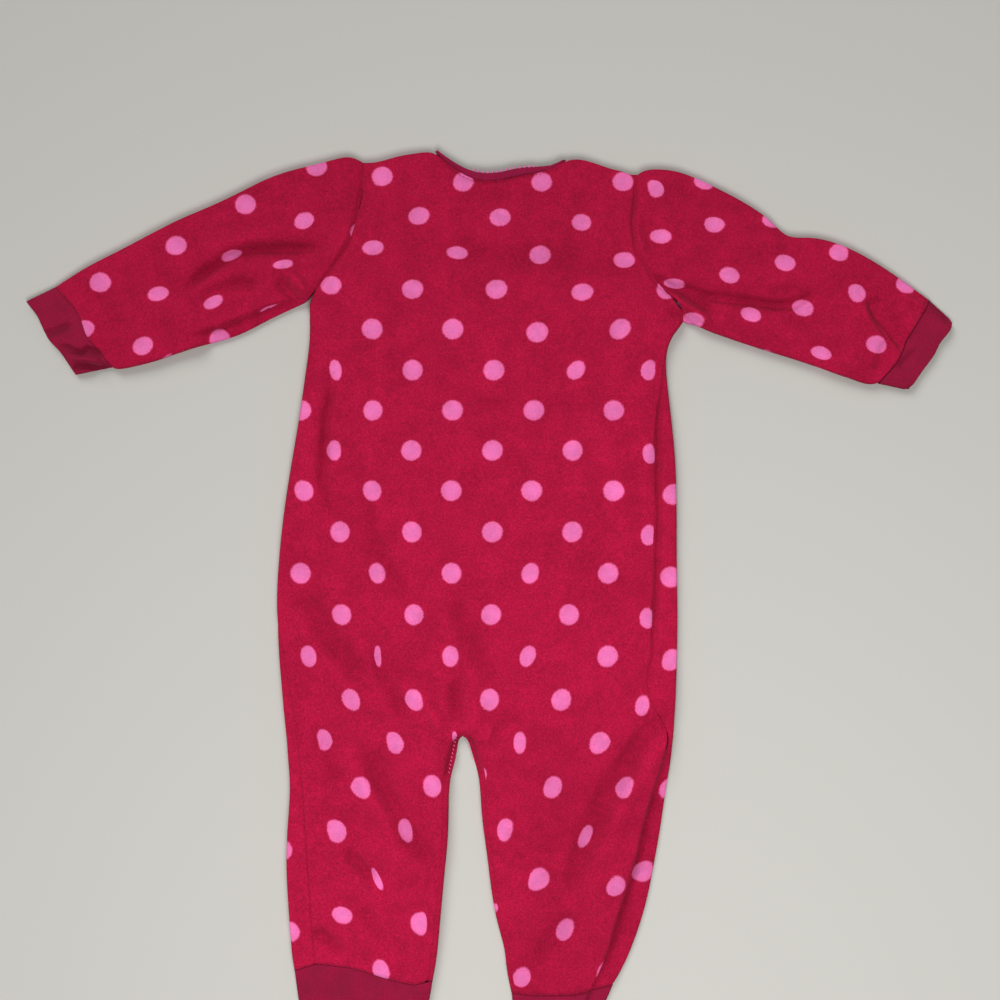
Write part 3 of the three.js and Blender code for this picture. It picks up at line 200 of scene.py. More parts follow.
# %% Lights
def light(name, kind, power, place, aim):
    lamp = bpy.data.lights.new(name, kind)
    lamp.energy = power
    thing = put_in_scene(name, lamp)
    thing.location = place
    thing.rotation_euler = Vector(aim).to_track_quat("-Z", "Y").to_euler()
    return lamp


overhead = (0.1, -0.5, 1.3)
lamp = light("above_the_legs", "AREA", 14, overhead, Vector((0, 0.05, 0)) - Vector(overhead))
lamp.shape = "SQUARE"
lamp.size = 0.7
window = light("window", "SUN", 1.85, (0, 0, 0), (0.5, -0.9, -0.95))
window.angle = math.radians(36)
world = bpy.data.worlds.new("soft_room")
bpy.context.scene.world = world
world.use_nodes = True
world.node_tree.nodes["Background"].inputs["Color"].default_value = linear("F4F6FA")
world.node_tree.nodes["Background"].inputs["Strength"].default_value = 0.24

# %% [markdown]
# ## A finer copy of each cloth solid
#
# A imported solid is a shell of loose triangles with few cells. Its copy is merged first, its triangles
# are joined to four-sided cells, and a Subdivision Surface rounds the folds. The cut edges of the
# cloth are creased, so that they keep their place and pieces still meet at their seams.

# %% Copy, merge and subdivide
def finer_copy(node, levels):
    work = work_on(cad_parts[node].data)
    bmesh.ops.remove_doubles(work, verts=work.verts, dist=0.02 * mm)
    bmesh.ops.join_triangles(work, faces=work.faces, angle_face_threshold=0.7, angle_shape_threshold=3.1)
    crease = work.edges.layers.float.new("crease_edge")
    for edge in work.edges:
        if len(edge.link_faces) == 2 and edge.calc_face_angle() > 1.15:
            edge[crease] = 1
    mesh = mesh_from(work, node + "_cloth")
    for name in ("custom_normal", "sharp_edge", "sharp_face"):
        if name in mesh.attributes:
            mesh.attributes.remove(mesh.attributes[name])
    mesh.materials.clear()
    piece = put_in_scene(node + "_cloth", mesh)
    smooth = piece.modifiers.new("rounding", "SUBSURF")
    smooth.levels = levels
    smooth.render_levels = levels
    fine = bpy.data.meshes.new_from_object(piece.evaluated_get(bpy.context.evaluated_depsgraph_get()))
    piece.modifiers.clear()
    piece.data = fine
    fine.name = node + "_cloth"
    return piece


fleece_nodes = {"back": 2, "front_left": 2, "front_right": 2, "sleeve_left": 3, "sleeve_right": 3}
# Each piece of rib has the way that its columns of loops run.
rib_ways = {"cuff_wrist_left": (0.8817, 0.4719), "cuff_wrist_right": (0.8944, -0.4472),
            "cuff_ankle_left": (-0.03, 1), "cuff_ankle_right": (-0.24, 0.97), "neckband": (0, 1)}
cloth = {}
for node, levels in {**fleece_nodes, **dict.fromkeys(rib_ways, 3), "zip_tape": 1}.items():
    cloth[node] = finer_copy(node, levels)
    print(node, len(cloth[node].data.polygons), "faces")

# %% [markdown]
# ## Creases laid in
#
# A soft garment on the ground keeps shallow troughs where it was pushed together and low rolls
# between them. Each row here is a rise in millimetres (below zero is a trough), a width and a line of
# points on the cloth. Armholes, side seam and neck seam are narrow troughs, because sewing pulls there.

# %% Lines of the creases
creases = [
    # Left chest and waist.
    (-2.2, 3.4, [(-127, 168), (-127, 154), (-131, 136), (-132, 112), (-134, 87), (-126, 61)]),
    (1, 8, [(-138, 163), (-143, 127), (-146, 87)]),
    (-1.9, 6, [(-109, 85), (-94, 63), (-90, 34), (-74, 7), (-59, -8)]),
    (0.8, 7, [(-99, 71), (-78, 32), (-56, 3)]),
    # Left hip and seat.
    (-3, 8, [(-162, -5), (-142, -14), (-128, -41), (-116, -54), (-99, -72)]),
    (1.5, 8, [(-152, -27), (-128, -61), (-102, -85)]),
    (-2, 6.5, [(-30, -6), (-21, -29), (-5, -57), (8, -77)]),
    (1.4, 7, [(-40, -16), (-24, -49), (-10, -81)]),
    # Left thigh and the crotch.
    (-1.7, 5.5, [(-90, -46), (-89, -63), (-82, -75), (-74, -90), (-68, -109)]),
    (-1.2, 4.5, [(-88, -61), (-69, -70), (-48, -73)]),
    (2, 5, [(-56, -81), (-46, -99), (-39, -116)]),
    (-2, 5.5, [(-27, -72), (-26, -89), (-27, -107)]),
    (1.5, 6, [(-16, -81), (-10, -99), (-16, -117)]),
    (1.4, 3.5, [(-13, -120), (-2, -120), (3, -107)]),
    (1.2, 3, [(-42, -117), (-36, -121)]),
    # Right seat, then the left shin and ankle.
    (-1.4, 6, [(0, -113), (13, -107), (22, -99)]),
    (-1.8, 7, [(-142, -113), (-134, -126), (-125, -141), (-117, -155)]),
    (-3, 6.5, [(-99, -126), (-88, -149), (-78, -171), (-66, -195), (-54, -209), (-43, -222)]),
    (1.6, 7, [(-110, -131), (-94, -169), (-74, -206), (-58, -227)]),
    (-2, 5, [(-116, -209), (-106, -219), (-91, -235)]),
    (-1.9, 5, [(-141, -273), (-130, -281), (-115, -293)]),
    (-1.7, 5, [(-101, -256), (-94, -267), (-86, -281)]),
    # Right thigh and shin.
    (-3.2, 7.5, [(141, -102), (132, -109), (120, -123), (108, -141), (93, -166), (83, -187), (74, -209),
     (64, -241)]),
    (1.6, 8, [(139, -123), (123, -144), (109, -169), (96, -197), (86, -225)]),
    (0.8, 20, [(56, -41), (80, -81), (88, -99)]),
    (-2.2, 8, [(67, -262), (53, -280), (38, -297)]),
    (0.7, 14, [(32, -169), (24, -217), (26, -273)]),
    # Middle of the chest, right waist and side.
    (-1, 3, [(-10, 144), (0, 147), (13, 144)]),
    (0.8, 4, [(-11, 152), (3, 155), (18, 152)]),
    (0.8, 5, [(-19, 122), (-8, 131), (6, 138)]),
    (1.5, 9, [(66, 127), (85, 111), (101, 91), (112, 67)]),
    (0.9, 6, [(122, 168), (125, 127), (124, 87), (126, 55)]),
    # Shoulders and neck.
    (-1.8, 12, [(-30, 269), (8, 264), (56, 261), (96, 256), (124, 253)]),
    (-0.9, 8, [(-40, 311), (8, 314), (56, 312), (96, 307)]),
    (0.9, 1.8, [(-43, 296), (-27, 283), (-8, 275), (18, 274), (43, 277), (62, 286), (77, 305)]),
    (0.7, 9, [(-40, 290), (8, 280), (56, 287)]),
    # Left sleeve and armpit.
    (-3.2, 3.6, [(-134, 272), (-160, 271), (-182, 271), (-200, 269), (-214, 261), (-230, 251),
     (-242, 239)]),
    (1.1, 7, [(-138, 285), (-168, 283), (-195, 280), (-221, 271), (-243, 258)]),
    (-1.8, 4.6, [(-182, 242), (-200, 243), (-214, 240), (-232, 234)]),
    (1.1, 7, [(-152, 259), (-182, 256), (-211, 250), (-235, 234), (-264, 219)]),
    (1.8, 3.6, [(-162, 253), (-152, 245), (-146, 234)]),
    (-2, 4.5, [(-171, 247), (-158, 234), (-152, 226)]),
    (1, 5, [(-110, 293), (-115, 282), (-122, 269)]),
    (1.3, 5, [(-150, 231), (-178, 221), (-208, 210), (-226, 197), (-245, 189)]),
    # Left wrist cuff.
    (1, 5, [(-333, 231), (-318, 213), (-309, 195)]),
    (-0.9, 5, [(-318, 235), (-302, 221), (-293, 202)]),
    (-2.4, 2.4, [(-355, 203), (-347, 205), (-342, 207), (-336, 210)]),
    (-3, 2, [(-343, 193), (-338, 192), (-332, 189), (-326, 188), (-322, 191), (-314, 189), (-310, 187)]),
    (2.4, 3, [(-334, 185), (-326, 183), (-318, 182), (-310, 182)]),
    (-2.8, 2.2, [(-331, 173), (-330, 177), (-322, 178), (-314, 176), (-304, 177)]),
    # Right wrist cuff.
    (1.3, 2.6, [(330, 235), (338, 229), (349, 223)]),
    (-1.7, 2.6, [(353, 229), (360, 221), (367, 213)]),
    (-0.9, 3, [(326, 176), (334, 183), (342, 191)]),
    # Right sleeve and armpit.
    (-3.8, 3.4, [(146, 243), (160, 238), (171, 233), (191, 231), (213, 228), (227, 226), (243, 227),
     (258, 235)]),
    (1.2, 7, [(160, 251), (192, 245), (224, 243), (248, 250)]),
    (1.2, 8, [(168, 216), (200, 213), (232, 207), (272, 194)]),
    (-3, 3.2, [(130, 251), (140, 243), (154, 237), (166, 229), (179, 221)]),
    (2.6, 3.4, [(146, 232), (155, 226), (168, 218), (178, 210)]),
    (-2.2, 3, [(142, 221), (154, 216), (165, 207)]),
    (-1.2, 4, [(122, 293), (126, 282), (130, 267)]),
    (1.4, 8, [(136, 304), (142, 290), (149, 274)]),
    (-0.8, 5, [(226, 290), (235, 279), (240, 269)]),
    (1.2, 5, [(300, 228), (303, 221), (312, 210), (320, 199), (326, 187)]),
    (2, 4, [(295, 229), (302, 213), (311, 203), (319, 193)]),
    (-2.4, 2.2, [(302, 224.5), (308.4, 215.2), (317.1, 205.6), (325, 194.5)]),
    # Feet of the folds, at the left underarm and on the right leg.
    (-2, 2.4, [(-163, 229), (-184, 220), (-200, 214), (-216, 207), (-238, 201)]),
    (-2.6, 2.6, [(136, -153), (126.5, -185), (122, -206), (117, -227), (109.5, -248), (103, -269),
     (98.5, -288), (91.5, -304)]),
    # Turned edges at the crotch, left armhole and right cuff.
    (-2.6, 3.4, [(-22, -117), (-27, -124), (-31, -136), (-33.5, -152)]),
    (-2, 3, [(-20, -117), (-15, -124), (-11.5, -136), (-8.5, -150)]),
    (1.6, 3.4, [(-171, 258), (-158, 249), (-151, 238)]),
    (-1.3, 5, [(309, 216), (315, 202), (315, 186), (306, 173)]),
    (0.9, 5, [(328, 231), (338, 216), (334, 200)]),
]
seam_lines = [
    # Left armhole.
    (-1.1, 2.2, [(-101, 338), (-102, 320), (-106, 298), (-112, 276), (-127, 254), (-145, 231)]),
    # Right armhole.
    (-1.1, 2.2, [(118, 330), (116, 311), (114, 290), (117, 269), (131, 246), (153, 225)]),
    # Right side seam.
    (-1.6, 2.2, [(140, 172), (136, 147), (134, 118), (135, 60), (133, 3), (131, -51), (127, -74),
     (126, -84)]),
    # Neck seam.
    (-0.8, 2.0, [(-44, 347), (-37, 341), (-29, 335), (-21, 329), (-12, 325), (-4, 323), (7, 324),
     (18, 327), (29, 329), (40, 331), (48, 332), (55, 336), (61, 340)]),
]
# Left of a step's line, going along it, the cloth lies lower, as far as its reach.
steps = [
    # Left underarm, the lower layer.
    (18, [(-143, 232), (-155, 232), (-163, 230), (-170, 227), (-184, 221), (-200, 215), (-216, 208),
     (-238, 202)]),
    # Pleat at the right sleeve's end.
    (15, [(299, 231), (301.3, 224.5), (307.3, 215.3), (316, 205.8), (324, 194.5), (328, 187)]),
    # Right leg, the layer under the fold.
    (30, [(143, -121), (141, -129), (138, -139), (134.5, -151), (130, -166), (125, -185), (120.5, -206),
     (115.5, -227), (108, -248), (101.5, -269), (97, -288), (90, -304), (81, -318)]),
]
print(len(creases), "creases,", len(seam_lines), "seams and", len(steps), "steps")

# %% Height of the creased cloth over a place
def nearest_on_line(x, y, line):
    best = np.full(x.shape, 1e9)
    side, where, done = np.zeros(x.shape), np.zeros(x.shape), 0
    for a, b in zip(line, line[1:]):
        length = math.dist(a, b)
        east, north = (b[0] - a[0]) / length, (b[1] - a[1]) / length
        along = np.clip((x - a[0]) * east + (y - a[1]) * north, 0, length)
        gap = np.hypot(x - a[0] - along * east, y - a[1] - along * north)
        turned_left = np.sign((y - a[1]) * east - (x - a[0]) * north) * gap
        nearer = gap < best
        best = np.where(nearer, gap, best)
        side = np.where(nearer, turned_left, side)
        where = np.where(nearer, done + along, where)
        done += length
    return best, side, np.minimum(where, done - where) / done


def line_strength(x, y, line, width):
    gap, _, from_end = nearest_on_line(x, y, line)
    return np.exp(-(gap / width) ** 2) * np.clip(from_end / 0.22 + 0.25, 0, 1)


deepened, heightened = 2.4, 2.1


def crease_height(x, y):
    low, high = np.zeros(x.shape), np.zeros(x.shape)
    for rise, width, line in creases + seam_lines:
        part = rise * line_strength(x, y, line, width)
        low = np.minimum(low, part)
        high = np.maximum(high, part)
    return deepened * low + heightened * high


def step_share(x, y):
    share = np.zeros(x.shape)
    for reach, line in steps:
        _, side, from_end = nearest_on_line(x, y, line)
        inside = np.clip((side + 0.3) / 1.8, 0, 1) * np.clip((reach - side) / 4, 0, 1)
        share = np.maximum(share, inside * np.clip(from_end / 0.12, 0, 1))
    return share


def narrow_crease(x, y):
    most = 0.6 * np.clip(step_share(x, y) * 8, 0, 1)
    for rise, width, line in creases + seam_lines:
        if width < 6:
            most = np.maximum(most, abs(rise) * line_strength(x, y, line, width * 1.7))
    return most


sample = crease_height(np.array([-132.0, 0.0]), np.array([112.0, 200.0]))
print("height in the left chest crease and beside it", sample.round(2), "mm")

# %% [markdown]
# ## Air between the layers
#
# Fleece is springy, so the upper layer stands a little off the lower one, with slow hills where air is
# caught. All pieces are lifted by one height that depends on the place alone. It grows from nothing in
# the lower layer to its full value in the upper one, so no two layers can pass through each other.

# %% Lift the upper layer and press the creases in
middle_height = 2.6
layer_start, layer_rise = 2.0, 2.2
body_air, cuff_air, most_pressed = 3.5, 1, 1.15


def point_table(piece):
    table = np.empty(len(piece.data.vertices) * 3)
    piece.data.vertices.foreach_get("co", table)
    return table.reshape(-1, 3) / mm


def set_points(piece, place):
    piece.data.vertices.foreach_set("co", (place * mm).ravel())


def hills(x, y):
    broad = [noise.noise(Vector((a / 46, b / 46, 3.7))) for a, b in zip(x, y)]
    small = [noise.noise(Vector((a / 19, b / 19, 8.1))) for a, b in zip(x, y)]
    return np.array(broad) * 1.1 + np.array(small) * 0.45


def cloth_lift(x, y):
    near_wrist = np.clip((np.abs(x - 1) - 285) / 60, 0, 1)
    near_ankle = np.clip((-265 - y) / 60, 0, 1)
    air = body_air - (body_air - cuff_air) * np.maximum(near_wrist, near_ankle)
    total = air + hills(x, y) + crease_height(x, y)
    lift = np.where(total < 0, -most_pressed * np.tanh(-total / most_pressed), total)
    return lift - step_share(x, y) * (lift + 0.9)


def refine_creases(piece):
    work = work_on(piece.data)
    work.verts.ensure_lookup_table()
    place = np.array([vert.co for vert in work.verts]) / mm
    strong = (narrow_crease(place[:, 0], place[:, 1]) > 0.35) & (place[:, 2] > middle_height)
    chosen = [edge for edge in work.edges if strong[edge.verts[0].index] and strong[edge.verts[1].index]]
    bmesh.ops.subdivide_edges(work, edges=chosen, cuts=1, use_grid_fill=True)
    work.to_mesh(piece.data)
    work.free()


# Cloth pushed along the ground by hand: pieces, middle and reach in millimetres, right and up.
pushes = [
    (["sleeve_right"], (157, 216), 8.5, -4.9, -4.2),
    (["back", "front_right"], (150.5, 214.5), 8, 4.1, -0.9),
    (["cuff_wrist_right"], (336, 159), 3.2, -0.6, 1.1),
    (["cuff_wrist_right"], (371, 213), 3.5, -1.1, -0.5),
    (["neckband"], (-44, 349), 4, 1.2, -1.4),
    (["back"], (-50.5, -312.5), 3, 0.7, -0.8),
]
for nodes, middle, reach, right, up in pushes:
    for node in nodes:
        place = point_table(cloth[node])
        near = np.exp(-((place[:, 0] - middle[0]) ** 2 + (place[:, 1] - middle[1]) ** 2) / reach ** 2)
        place[:, 0] += near * right
        place[:, 1] += near * up
        set_points(cloth[node], place)

for node in ("back", "front_right", "sleeve_left", "sleeve_right"):
    refine_creases(cloth[node])
# The neckband narrows towards the shoulders, on the left by less than on the right.
neck_middle = 8.5
neck_line = np.array(seam_lines[-1][-1])
place = point_table(cloth["neckband"])
sewn_at = np.interp(place[:, 0], neck_line[:, 0], neck_line[:, 1]) + 2
ends = np.clip((np.abs(place[:, 0] - neck_middle) - 12) / 36, 0, 1)
above = np.clip(place[:, 1] - sewn_at, 0, None)
taper = np.where(place[:, 0] < neck_middle, 0.45, 0.6)
place[:, 1] -= above * taper * ends ** 1.5
set_points(cloth["neckband"], place)
flat_place, crease_shade_height = {}, {}
for node, piece in cloth.items():
    place = point_table(piece)
    flat_place[node] = place.copy()
    share = np.clip((place[:, 2] - layer_start) / layer_rise, 0, 1)
    # The crease depth is kept for the painted shade in the creases and the painted light on the rolls.
    crease_shade_height[node] = share * crease_height(place[:, 0], place[:, 1])
    place[:, 2] += share * cloth_lift(place[:, 0], place[:, 1])
    set_points(piece, place)
    piece.data.polygons.foreach_set("use_smooth", [True] * len(piece.data.polygons))
    piece.data.update()
    print(node, "top at", place[:, 2].max().round(2), "mm,", len(piece.data.polygons), "faces")

# %% [markdown]
# ## Where each printed dot lies
#
# The print is an even lattice on the flat cloth: rows 33 mm apart, dots 65 mm apart in a row and each
# row half a step along. Sewn and laid down, the cloth stretches and gathers, so dots drift. Each row
# below gives its lattice number, its height on the cloth and, by dot number, where a dot lies. From it
# a UV map is made in flat-cloth metres, and the material prints a plain lattice on that map. A second
# map, called nap, holds how deep in a crease or how high on a roll the cloth lies, and the
# material paints shade into the creases and light onto the rolls from it.

# %% Rows of dots on each piece
back_dots = [
    (0, 324, {-1: -86, 0: -21, 1: 41, 2: 106}),
    (1, 296, {-0.5: -58, 0.5: 8, 1.5: 74}),
    (2, 268, {-1: -94, 0: -26, 1: 40, 2: 107}),
    (3, 239, {-1.5: -127, -0.5: -62, 0.5: 5, 1.5: 74, 2.5: 142}),
    (4, 207, {-1: -94, 0: -30, 1: 38, 2: 104}),
    (5, 174, {-1.5: -123, -0.5: -62, 0.5: 3, 1.5: 69, 2.5: 125}),
    (6, 142, {-2: -149, -1: -94, 0: -30, 1: 35, 2: 99}),
    (7, 110, {-1.5: -125, -0.5: -63, 0.5: 2, 1.5: 66, 2.5: 126}),
    (8, 78, {-2: -147, -1: -95, 0: -31, 1: 33, 2: 99}),
    (9, 45, {-1.5: -119, -0.5: -63, 0.5: 2, 1.5: 66, 2.5: 126}),
    (10, 12, {-2: -151, -1: -90, 0: -31, 1: 32, 2: 94}),
    (11, -21, {-1.5: -118, -0.5: -61, 0.5: 1, 1.5: 63, 2.5: 125}),
    (12, -54, {-2: -144, -1: -90, 0: -32, 1: 30, 2: 94}),
    (13, -89, {-1.5: -110, -0.5: -62, 0.5: 0, 1.5: 56, 2.5: 122}),
    (14, -123, {-2: -131, -1: -75, 0: -26, 1: 23, 2: 88, 3: 149}),
    (15, -159, {-1.5: -103, -0.5: -45, 0.5: -7, 1.5: 51, 2.5: 106}),
    (16, -193, {-2: -121, -1: -68, 1: 12, 2: 77}),
    (17, -233, {-1.5: -90, -0.5: -24, 0.5: -10, 1.5: 40, 2.5: 102}),
    (18, -265, {-2: -117, -1: -55, 1: -2, 2: 62}),
    (19, -306, {-1.5: -87, -0.5: -22, 1.2: 5, 1.5: 25, 2.5: 86}),
]
front_left_dots = [
    (10, -11, {0.5: -168}), (11, -44, {0: -168}), (12, -77, {0.5: -167}), (13, -110, {0: -165}),
    (14, -143, {0.5: -163}), (15, -176, {0: -163}), (16, -209, {0: -167.5, 2: -20}),
    (18, -274, {0: -160}),
]
front_right_dots = [
    (6, 141, {3: 155}), (8, 75, {3: 146}), (10, 9, {3: 144}), (12, -57, {3: 146}),
    (14, -126, {1: 9, 3: 123}), (15, -160, {3.5: 144}), (17, -227, {1.5: -20, 3.5: 122}),
    (17.4, -240, {1.5: -20, 3.5: 122}), (19, -293, {2.5: -8, 3.5: 75}), (20, -326, {3: 60}),
]
left_sleeve_dots = [
    (0, 0, {-2: -132, -1: -65, 0: 0, 1: 64}),
    (1, -30, {-2.5: -159, -1.5: -95, -0.5: -29, 0.5: 35}),
    (2, -56, {-2: -126, -1: -59, 0: 4, 1: 66}),
    (2.4, -68, {-2: -126, -1: -59, 0: 4, 1: 66}),
    (3, -82, {-1.5: -131, -1.36: -122, -0.66: -32, -0.5: -22}),
]
right_sleeve_dots = [
    (-1, 26, {-1.5: -86, -0.5: -25, 0.5: 34, 1.5: 94}),
    (0, 3, {-2: -121, -1: -66, 0: 0, 1: 61}),
    (1, -25.5, {-1.5: -99, -0.5: -36, 0.5: 28, 1.5: 94}),
    (2, -51.5, {-1: -71, 0: -7, 1: 57}),
    (3, -73, {-0.5: -46}),
]
step_along, step_across = 65, 33
# Where a crease swallows cloth, a dot is squeezed or moved: its place, the angle it is squeezed along,
# by how much, and the millimetres it is moved to the right and up.
back_squeezed = [
    (-124, 175, 0, 1.7), (-126, 108, 0, 1.4), (69, 175, -45, 1.25), (126, 175, 0, 1.4),
    (126, 108, 0, 1.6, 0, -3.2), (124, 43, 0, 1.4, 0, -3), (124, -23, 0, 1.4, 0, -3.4),
    (122, -89, 0, 1.5, 0, -5), (-91, 15, 20, 1.25), (-90, -53, 0, 2.6), (-145, -53, 0, 1.25),
    (30, -53, -20, 1.35), (-32, -53, 0, 1.2), (32, 15, -20, 1.2), (22, -121, 10, 1.5),
    (-68, -193, 15, 1.1, 1.5, 0), (-45, -159, 0, 0.75, 1, 1), (-55, -265, 0, 0.74, 1.4, -1.5),
    (-86, 324, 0, 1, 0, 5), (-94, 268, 90, 1.2, 0, 5), (107, 268, 90, 1.1, 0, -7.5),
    (-127, 239, 0, 1, 0, 4), (-26, -123, 0, 3, -2, 3), (-7, -159, 0, 1.7, -2, 8),
    (102, -233, 0, 1.1, -1, -5), (40, -233, 0, 0.75, -2.5, 0), (51, -159, 0, 1, -1, 0),
    (12, -193, 0, 1, -3, 1), (86, -306, -20, 1.5, 5, 0), (-26, -123, 90, 1.5), (-91, -231, 20, 2.8),
    (77, -193, -20, 1.75, 0, -5), (106, -159, -30, 1.3), (-86, -304, 30, 1.35),
    (-117, -265, 80, 1.2, 0, 5), (25, -306, -20, 1.15, 0.5, -5.5), (74, 296, 0, 1.1, -1, -5.6),
    (40, 268, 0, 1, 0, -1.9), (74, 239, 90, 1.15, 0, -2.7), (38, 207, 0, 1, 0, -3),
    (-58, 296, 0, 1, 1, 1.6), (62, -265, -20, 1.25, -1, -7), (-26, 269, 80, 1.5),
    (-131, -123, -10, 1.35, 0, 2),
]
left_sleeve_squeezed = [
    (-206, 267, 110, 1.9), (-167, 263, 95, 2), (-222, 231, 120, 1.5), (-266, 235, 100, 1.25),
    (-178, 224, 110, 1.7), (-216, 200, 100, 1.6), (-150, 297, 0, 1, 2.5, -4.3),
    (-112, 289, 0, 1.2, 6, -4), (-322, 205, 0, 1, -2.6, 3.3), (-280, 197, 0, 1, 3, -4.5),
    (-252, 275, 0, 1, 2, -2.6),
]
right_sleeve_squeezed = [
    (136, 281, 90, 1.2), (208, 220, 70, 1.05, 1.4, 3.2), (264, 188, 70, 1.2),
    (147, 243, 100, 1.5, -2.4, -3), (129, 317, 90, 0.72, 4.4, 5.6), (129, 317, 0, 1.15),
    (171, 322, 0, 1, 0.5, 5), (193, 253, 0, 1, -2, -4), (238, 262, 0, 1, -1.6, -2.6),
    (293, 234, 90, 0.82, 0.8, 3), (293, 234, 0, 1.15), (332, 240, 0, 1, 0, 2.4),
]
print(len(back_dots), "rows on the back")

# %% From a place on the laid cloth to the flat print
def along_row(x, dots):
    numbers = sorted(dots)
    places = [dots[number] for number in numbers]
    far_left = [places[0] - 10 * step_along] + places + [places[-1] + 10 * step_along]
    far_numbers = [numbers[0] - 10] + numbers + [numbers[-1] + 10]
    return np.interp(x, far_left, far_numbers)


def print_place(x, y, rows):
    order = sorted(rows, key=lambda row: -row[1])
    heights = np.array([row[1] for row in order], float)
    first = (order[0][0] - 10, heights[0] + 10 * step_across, order[0][2])
    last = (order[-1][0] + 10, heights[-1] - 10 * step_across, order[-1][2])
    order = [first] + order + [last]
    across = np.zeros(x.shape)
    along = np.zeros(x.shape)
    for upper, lower in zip(order, order[1:]):
        inside = (y <= upper[1]) & (y > lower[1])
        t = (upper[1] - y[inside]) / (upper[1] - lower[1])
        across[inside] = upper[0] + t * (lower[0] - upper[0])
        along[inside] = (1 - t) * along_row(x[inside], upper[2]) + t * along_row(x[inside], lower[2])
    return along * step_along, across * step_across


def squeezed_print(x, y, rows, marks, to_row=lambda x, y: (x, y), turned=0):
    along, across = print_place(x, y, rows)
    for mark_x, mark_y, angle, much, *move in marks:
        at_x, at_y = to_row(np.array([float(mark_x)]), np.array([float(mark_y)]))
        near_along, near_across = print_place(at_x, at_y, rows)
        number = round(near_across[0] / step_across)
        half = (number % 2) / 2
        dot_along = (round(near_along[0] / step_along - half) + half) * step_along
        east, south = along - dot_along, across - number * step_across
        right, up = move or (0, 0)
        lean = math.radians(turned)
        moved_east = right * math.cos(lean) + up * math.sin(lean)
        moved_south = right * math.sin(lean) - up * math.cos(lean)
        fade = np.exp(-(np.hypot(east - moved_east / 2, south - moved_south / 2) / 15) ** 4)
        along, across = along - moved_east * fade, across - moved_south * fade
        east, south = east - moved_east, south - moved_south
        way_east = math.cos(math.radians(angle - turned))
        way_south = -math.sin(math.radians(angle - turned))
        part = (east * way_east + south * way_south) * (much - 1)
        part *= np.exp(-(np.hypot(east, south) / 13) ** 4)
        along, across = along + part * way_east, across + part * way_south
    return along, across


def give_map(piece, u, v, name="flat_cloth", other=None, faces=None):
    layer = piece.data.uv_layers.new(name=name)
    corner = np.empty(len(piece.data.loops), np.int32)
    piece.data.loops.foreach_get("vertex_index", corner)
    table = np.stack([u[corner], v[corner]], axis=1) * mm
    if other is not None:
        count = np.empty(len(piece.data.polygons), np.int32)
        piece.data.polygons.foreach_get("loop_total", count)
        chosen = np.repeat(faces, count)
        table[chosen] = np.stack([other[0][corner], other[1][corner]], axis=1)[chosen] * mm
    layer.data.foreach_set("uv", table.ravel())


left_edge = [
    (-400, -156), (-305, -156), (-250, -161), (-205, -162), (-150, -160), (-120, -162), (-25, -170),
    (35, -168), (90, -160), (150, -150), (200, -144), (232, -146)]
right_edge = [
    (-400, 60), (-316, 99), (-267, 120), (-205, 134), (-150, 143), (-90, 149), (35, 150), (150, 144),
    (200, 144), (232, 154)]


def turned_under(place, edge):
    fold = np.interp(place[:, 1], [row[0] for row in edge], [row[1] for row in edge])
    return np.where(place[:, 2] < middle_height, 2 * fold - place[:, 0], place[:, 0])


place = flat_place["back"]
give_map(cloth["back"], *squeezed_print(place[:, 0], place[:, 1], back_dots, back_squeezed))
for node, edge, rows in (("front_left", left_edge, front_left_dots),
                         ("front_right", right_edge, front_right_dots)):
    place = flat_place[node]
    give_map(cloth[node], *print_place(turned_under(place, edge), place[:, 1], rows))
for side, centre, way, rows, marks, fold in (
        ("left", (-195, 306), (0.8817, 0.4719), left_sleeve_dots, left_sleeve_squeezed, 22),
        ("right", (236, 259), (0.8944, -0.4472), right_sleeve_dots, right_sleeve_squeezed, 30)):
    def on_sleeve(x, y):
        east, north = x - centre[0], y - centre[1]
        return east * way[0] + north * way[1], -east * way[1] + north * way[0]

    turned = math.degrees(math.atan2(way[1], way[0]))
    place = flat_place["sleeve_" + side]
    along, over = on_sleeve(place[:, 0], place[:, 1])
    over = np.where(place[:, 2] < 3.2, 2 * fold - over, over)
    strip_map, strip_faces = None, None
    if side == "left":
        # The strip below the underarm step is the lower layer, which has one dot of its own in sight.
        middles = np.array([face.center for face in cloth["sleeve_left"].data.polygons]) / mm
        strip_faces = (step_share(middles[:, 0], middles[:, 1]) > 0.35) & (middles[:, 2] > middle_height)
        strip_map = (-97.5 + np.interp(along + 69.3, [-60, 10, 80], [-60, 10, 34]), 99 - 84.5 - over)
    flat = squeezed_print(along, over, rows, marks, on_sleeve, turned)
    give_map(cloth["sleeve_" + side], *flat, other=strip_map, faces=strip_faces)
# A second map holds each place's crease depth, from which the materials paint shade and light.
for node, height in crease_shade_height.items():
    give_map(cloth[node], height, height * 0, "nap")
print("maps made for", [piece.name for piece in cloth.values() if piece.data.uv_layers])

# %% [markdown]
# ## Brushed polyester fleece
#
# The cloth is polyester knit, brushed until its fibres stand up as a short nap. That gives a deep,
# matt colour with a soft bright rim, a grain of tufts about 1.5 mm across and light flecks where fibres
# have balled. On the body a painted fall-off of light makes the belly a little lighter than the yoke,
# and painted shade makes the folded right leg darker. Shade is painted into each crease and light onto
# each roll. The dots are printed on the nap, so their edges are ragged by about a millimetre. A
# tuft is smaller than two picture points here, so the tufts are drawn about 2 mm wide.

